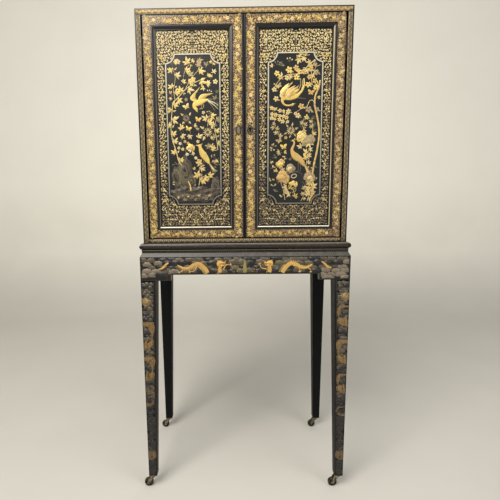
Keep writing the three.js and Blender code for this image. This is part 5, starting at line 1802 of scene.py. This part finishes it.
hingeSpots = [(0.0, foot + rise) for foot in screws["hingeFeet"] for rise in screws["hingeHeights"]]
for side, hand in sideOf.items():
    for body, reach, out in (("cabinet", screws["hingeFace"], -hand), (f"{side}_door", screws["doorFace"], hand)):
        leaf = flatFace((cabinet["middle"] + hand * reach, screws["hingeDepth"], 0), (0, out, 0), (out, 0, 0))
        laySpots(f"{body}_{side}_hinge_screws", body, leaf, hingeSpots, screws["radius"], screws["flush"], 700)
rearwards = ((-1, 0, 0), (0, 1, 0))
laySpots("left_door_bolt_screws", "left_door", flatFace((cabinet["middle"], screws["plateFace"], 0), *rearwards),
         [(u, v) for u in (8.9, 21.1) for v in screws["plateHeights"]], 1.25, 0.3, 710)
laySpots("right_door_lock_screws", "right_door", flatFace((cabinet["middle"], screws["caseFace"], 0), *rearwards),
         [(-u, v) for u in (5.0, 23.0) for v in (1239.0, 1280.5)], 1.9, 0.3, 711)
under = flatFace((cabinet["middle"], 0, screws["castorFace"]), (1, 0, 0), (0, 0, -1), (0, -1, 0))
laySpots("castor_plate_screws", "cabinet", under,
         [(u * 335.5 + i * screws["castorSpread"], v * 175.5 + j * screws["castorSpread"])
          for u in (-1, 1) for v in (-1, 1) for i in (-1, 1) for j in (-1, 1)], 2.0, 0.3, 712)
for side, hand in sideOf.items():
    gilt = newRelief(720)
    angles = np.linspace(0, tau, 33)
    oval = np.stack([np.cos(angles), np.sin(angles)], -1)
    spot = np.array((hand * 18.5, screws["keyHeight"]))
    addRibbons(gilt, oval * (8.0, 14.4) + spot, 3.2, ink, 0.5)
    layRelief(gilt, f"{side}_door_key_ring", frontFace(0, cabinet["front"], 0), f"{side}_door")
    gilt = newRelief(722)
    addRibbons(gilt, oval * (5.0, 11.0) + spot, 1.3, umber, 0.16)
    if side == "right":
        arc = np.array([(4.5 * sin(t), 3.1 + 4.5 * cos(t)) for t in np.linspace(-2.7, 2.7, 19)])
        addRibbons(gilt, np.concatenate([[(-2.6, -7.0)], arc, [(2.6, -7.0)]]) + spot, 1.9, ink, 0.14)
    addShapes(gilt, [np.array([(cos(t), sin(t)) for t in angles[:-1:2]]) * 0.9 + spot + (0, rise)
                       for rise in (-9.2, 9.2)], screwBrass, 0.5, 0.5)
    layRelief(gilt, f"{side}_door_key_pins", frontFace(0, cabinet["escutcheonFront"], 0), f"{side}_door")
print("screws and pins set")


# camera, fitted to the corners of the cabinet and stand
lensLook = {
    "place": (-0.0368, -1.3845, 1.0430),
    "pitch": 0.1395,
    "roll": -0.0105,
    "yaw": 0.0131,
    "lens": 26.256,
    "shift": 0.0481,
}
camera = bpy.data.cameras.new("camera")
camera.sensor_width = 36.0
camera.lens = lensLook["lens"]
camera.shift_x = lensLook["shift"]
view = newThing("camera", camera)
view.rotation_mode = "QUATERNION"
view.location = lensLook["place"]
view.rotation_quaternion = (Matrix.Rotation(lensLook["yaw"], 3, "Z")
                            @ Matrix.Rotation(pi / 2 - lensLook["pitch"], 3, "X")
                            @ Matrix.Rotation(lensLook["roll"], 3, "Z")).to_quaternion()
bpy.context.scene.camera = view


# floor, backdrop and lights
stageLook = {
    "floor": tint(214, 211, 203),
    "backdrop": tint(244, 240, 228),
    "world": tint(236, 234, 230),
    "worldStrength": 0.42,
    "glow": 0.16,
}


def makeStage():
    mesh = bpy.data.meshes.new("studioSweep")
    profile = [(-4.0, 0.0), (1.6, 0.0)]
    profile += [(1.6 + 0.8 * sin(i * pi / 24), 0.8 - 0.8 * cos(i * pi / 24)) for i in range(1, 13)]
    profile.append((2.4, 5.0))
    points = [(x, y, z) for y, z in profile for x in (-6.0, 6.0)]
    faces = [(2 * i, 2 * i + 1, 2 * i + 3, 2 * i + 2) for i in range(len(profile) - 1)]
    mesh.from_pydata(points, [], faces)
    for polygon in mesh.polygons:
        polygon.use_smooth = True
    sweep = newThing("studioSweep", mesh)
    material, tree, shader = newFinish("paleStage", "")
    drift = noiseNode(tree, objectPlace(tree), 3.0, 3.0)
    up = splitPlace(tree)[2]
    color = mixNode(tree, rangeNode(tree, up, 0.0, 0.5), stageLook["floor"], stageLook["backdrop"])
    color = mixNode(tree, rangeNode(tree, drift, 0.3, 0.7, 0.0, 0.06), color, tint(150, 146, 138))
    tree.links.new(color, shader.inputs["Base Color"])
    shader.inputs["Roughness"].default_value = 0.9
    # the camera sees the backdrop a little paler; the floor stays as it is, with its shadow
    ray = addNode(tree, "ShaderNodeLightPath").outputs["Is Camera Ray"]
    glow = times(tree, ray, rangeNode(tree, up, 0.1, 1.2, 0.0, stageLook["glow"]))
    shader.inputs["Emission Color"].default_value = stageLook["backdrop"]
    tree.links.new(glow, shader.inputs["Emission Strength"])
    mesh.materials.append(material)


def addLamp(name, place, target, size, power, color):
    lamp = bpy.data.lights.new(name, "AREA")
    lamp.shape = "RECTANGLE"
    lamp.size, lamp.size_y = size
    lamp.energy = power
    lamp.color = color[:3]
    shown = newThing(name, lamp)
    shown.location = place
    shown.rotation_mode = "QUATERNION"
    shown.rotation_quaternion = (Vector(target) - Vector(place)).to_track_quat("-Z", "Y")


makeStage()
world = bpy.data.worlds.new("studio")
world.use_nodes = True
background = world.node_tree.nodes["Background"]
background.inputs["Color"].default_value = stageLook["world"]
background.inputs["Strength"].default_value = stageLook["worldStrength"]
shownSky = addNode(world.node_tree, "ShaderNodeBackground", in_Color=stageLook["backdrop"], in_Strength=0.82)
seen = addNode(world.node_tree, "ShaderNodeMixShader")
world.node_tree.links.new(addNode(world.node_tree, "ShaderNodeLightPath").outputs["Is Camera Ray"], seen.inputs[0])
world.node_tree.links.new(background.outputs[0], seen.inputs[1])
world.node_tree.links.new(shownSky.outputs[0], seen.inputs[2])
world.node_tree.links.new(seen.outputs[0], world.node_tree.nodes["World Output"].inputs["Surface"])
bpy.context.scene.world = world
addLamp("keyLamp", (-1.0, -1.7, 2.9), (0, -0.1, 1.2), (1.3, 1.3), 62, tint(255, 251, 243))
addLamp("fillLamp", (2.4, -2.1, 1.9), (0, -0.1, 0.9), (1.6, 1.6), 20, tint(246, 248, 255))
addLamp("topLamp", (0.0, -0.8, 3.2), (0, -0.1, 0.8), (2.2, 1.2), 26, tint(255, 252, 246))
bpy.context.scene.view_settings.view_transform = "Standard"
print("camera, lamps and floor set")
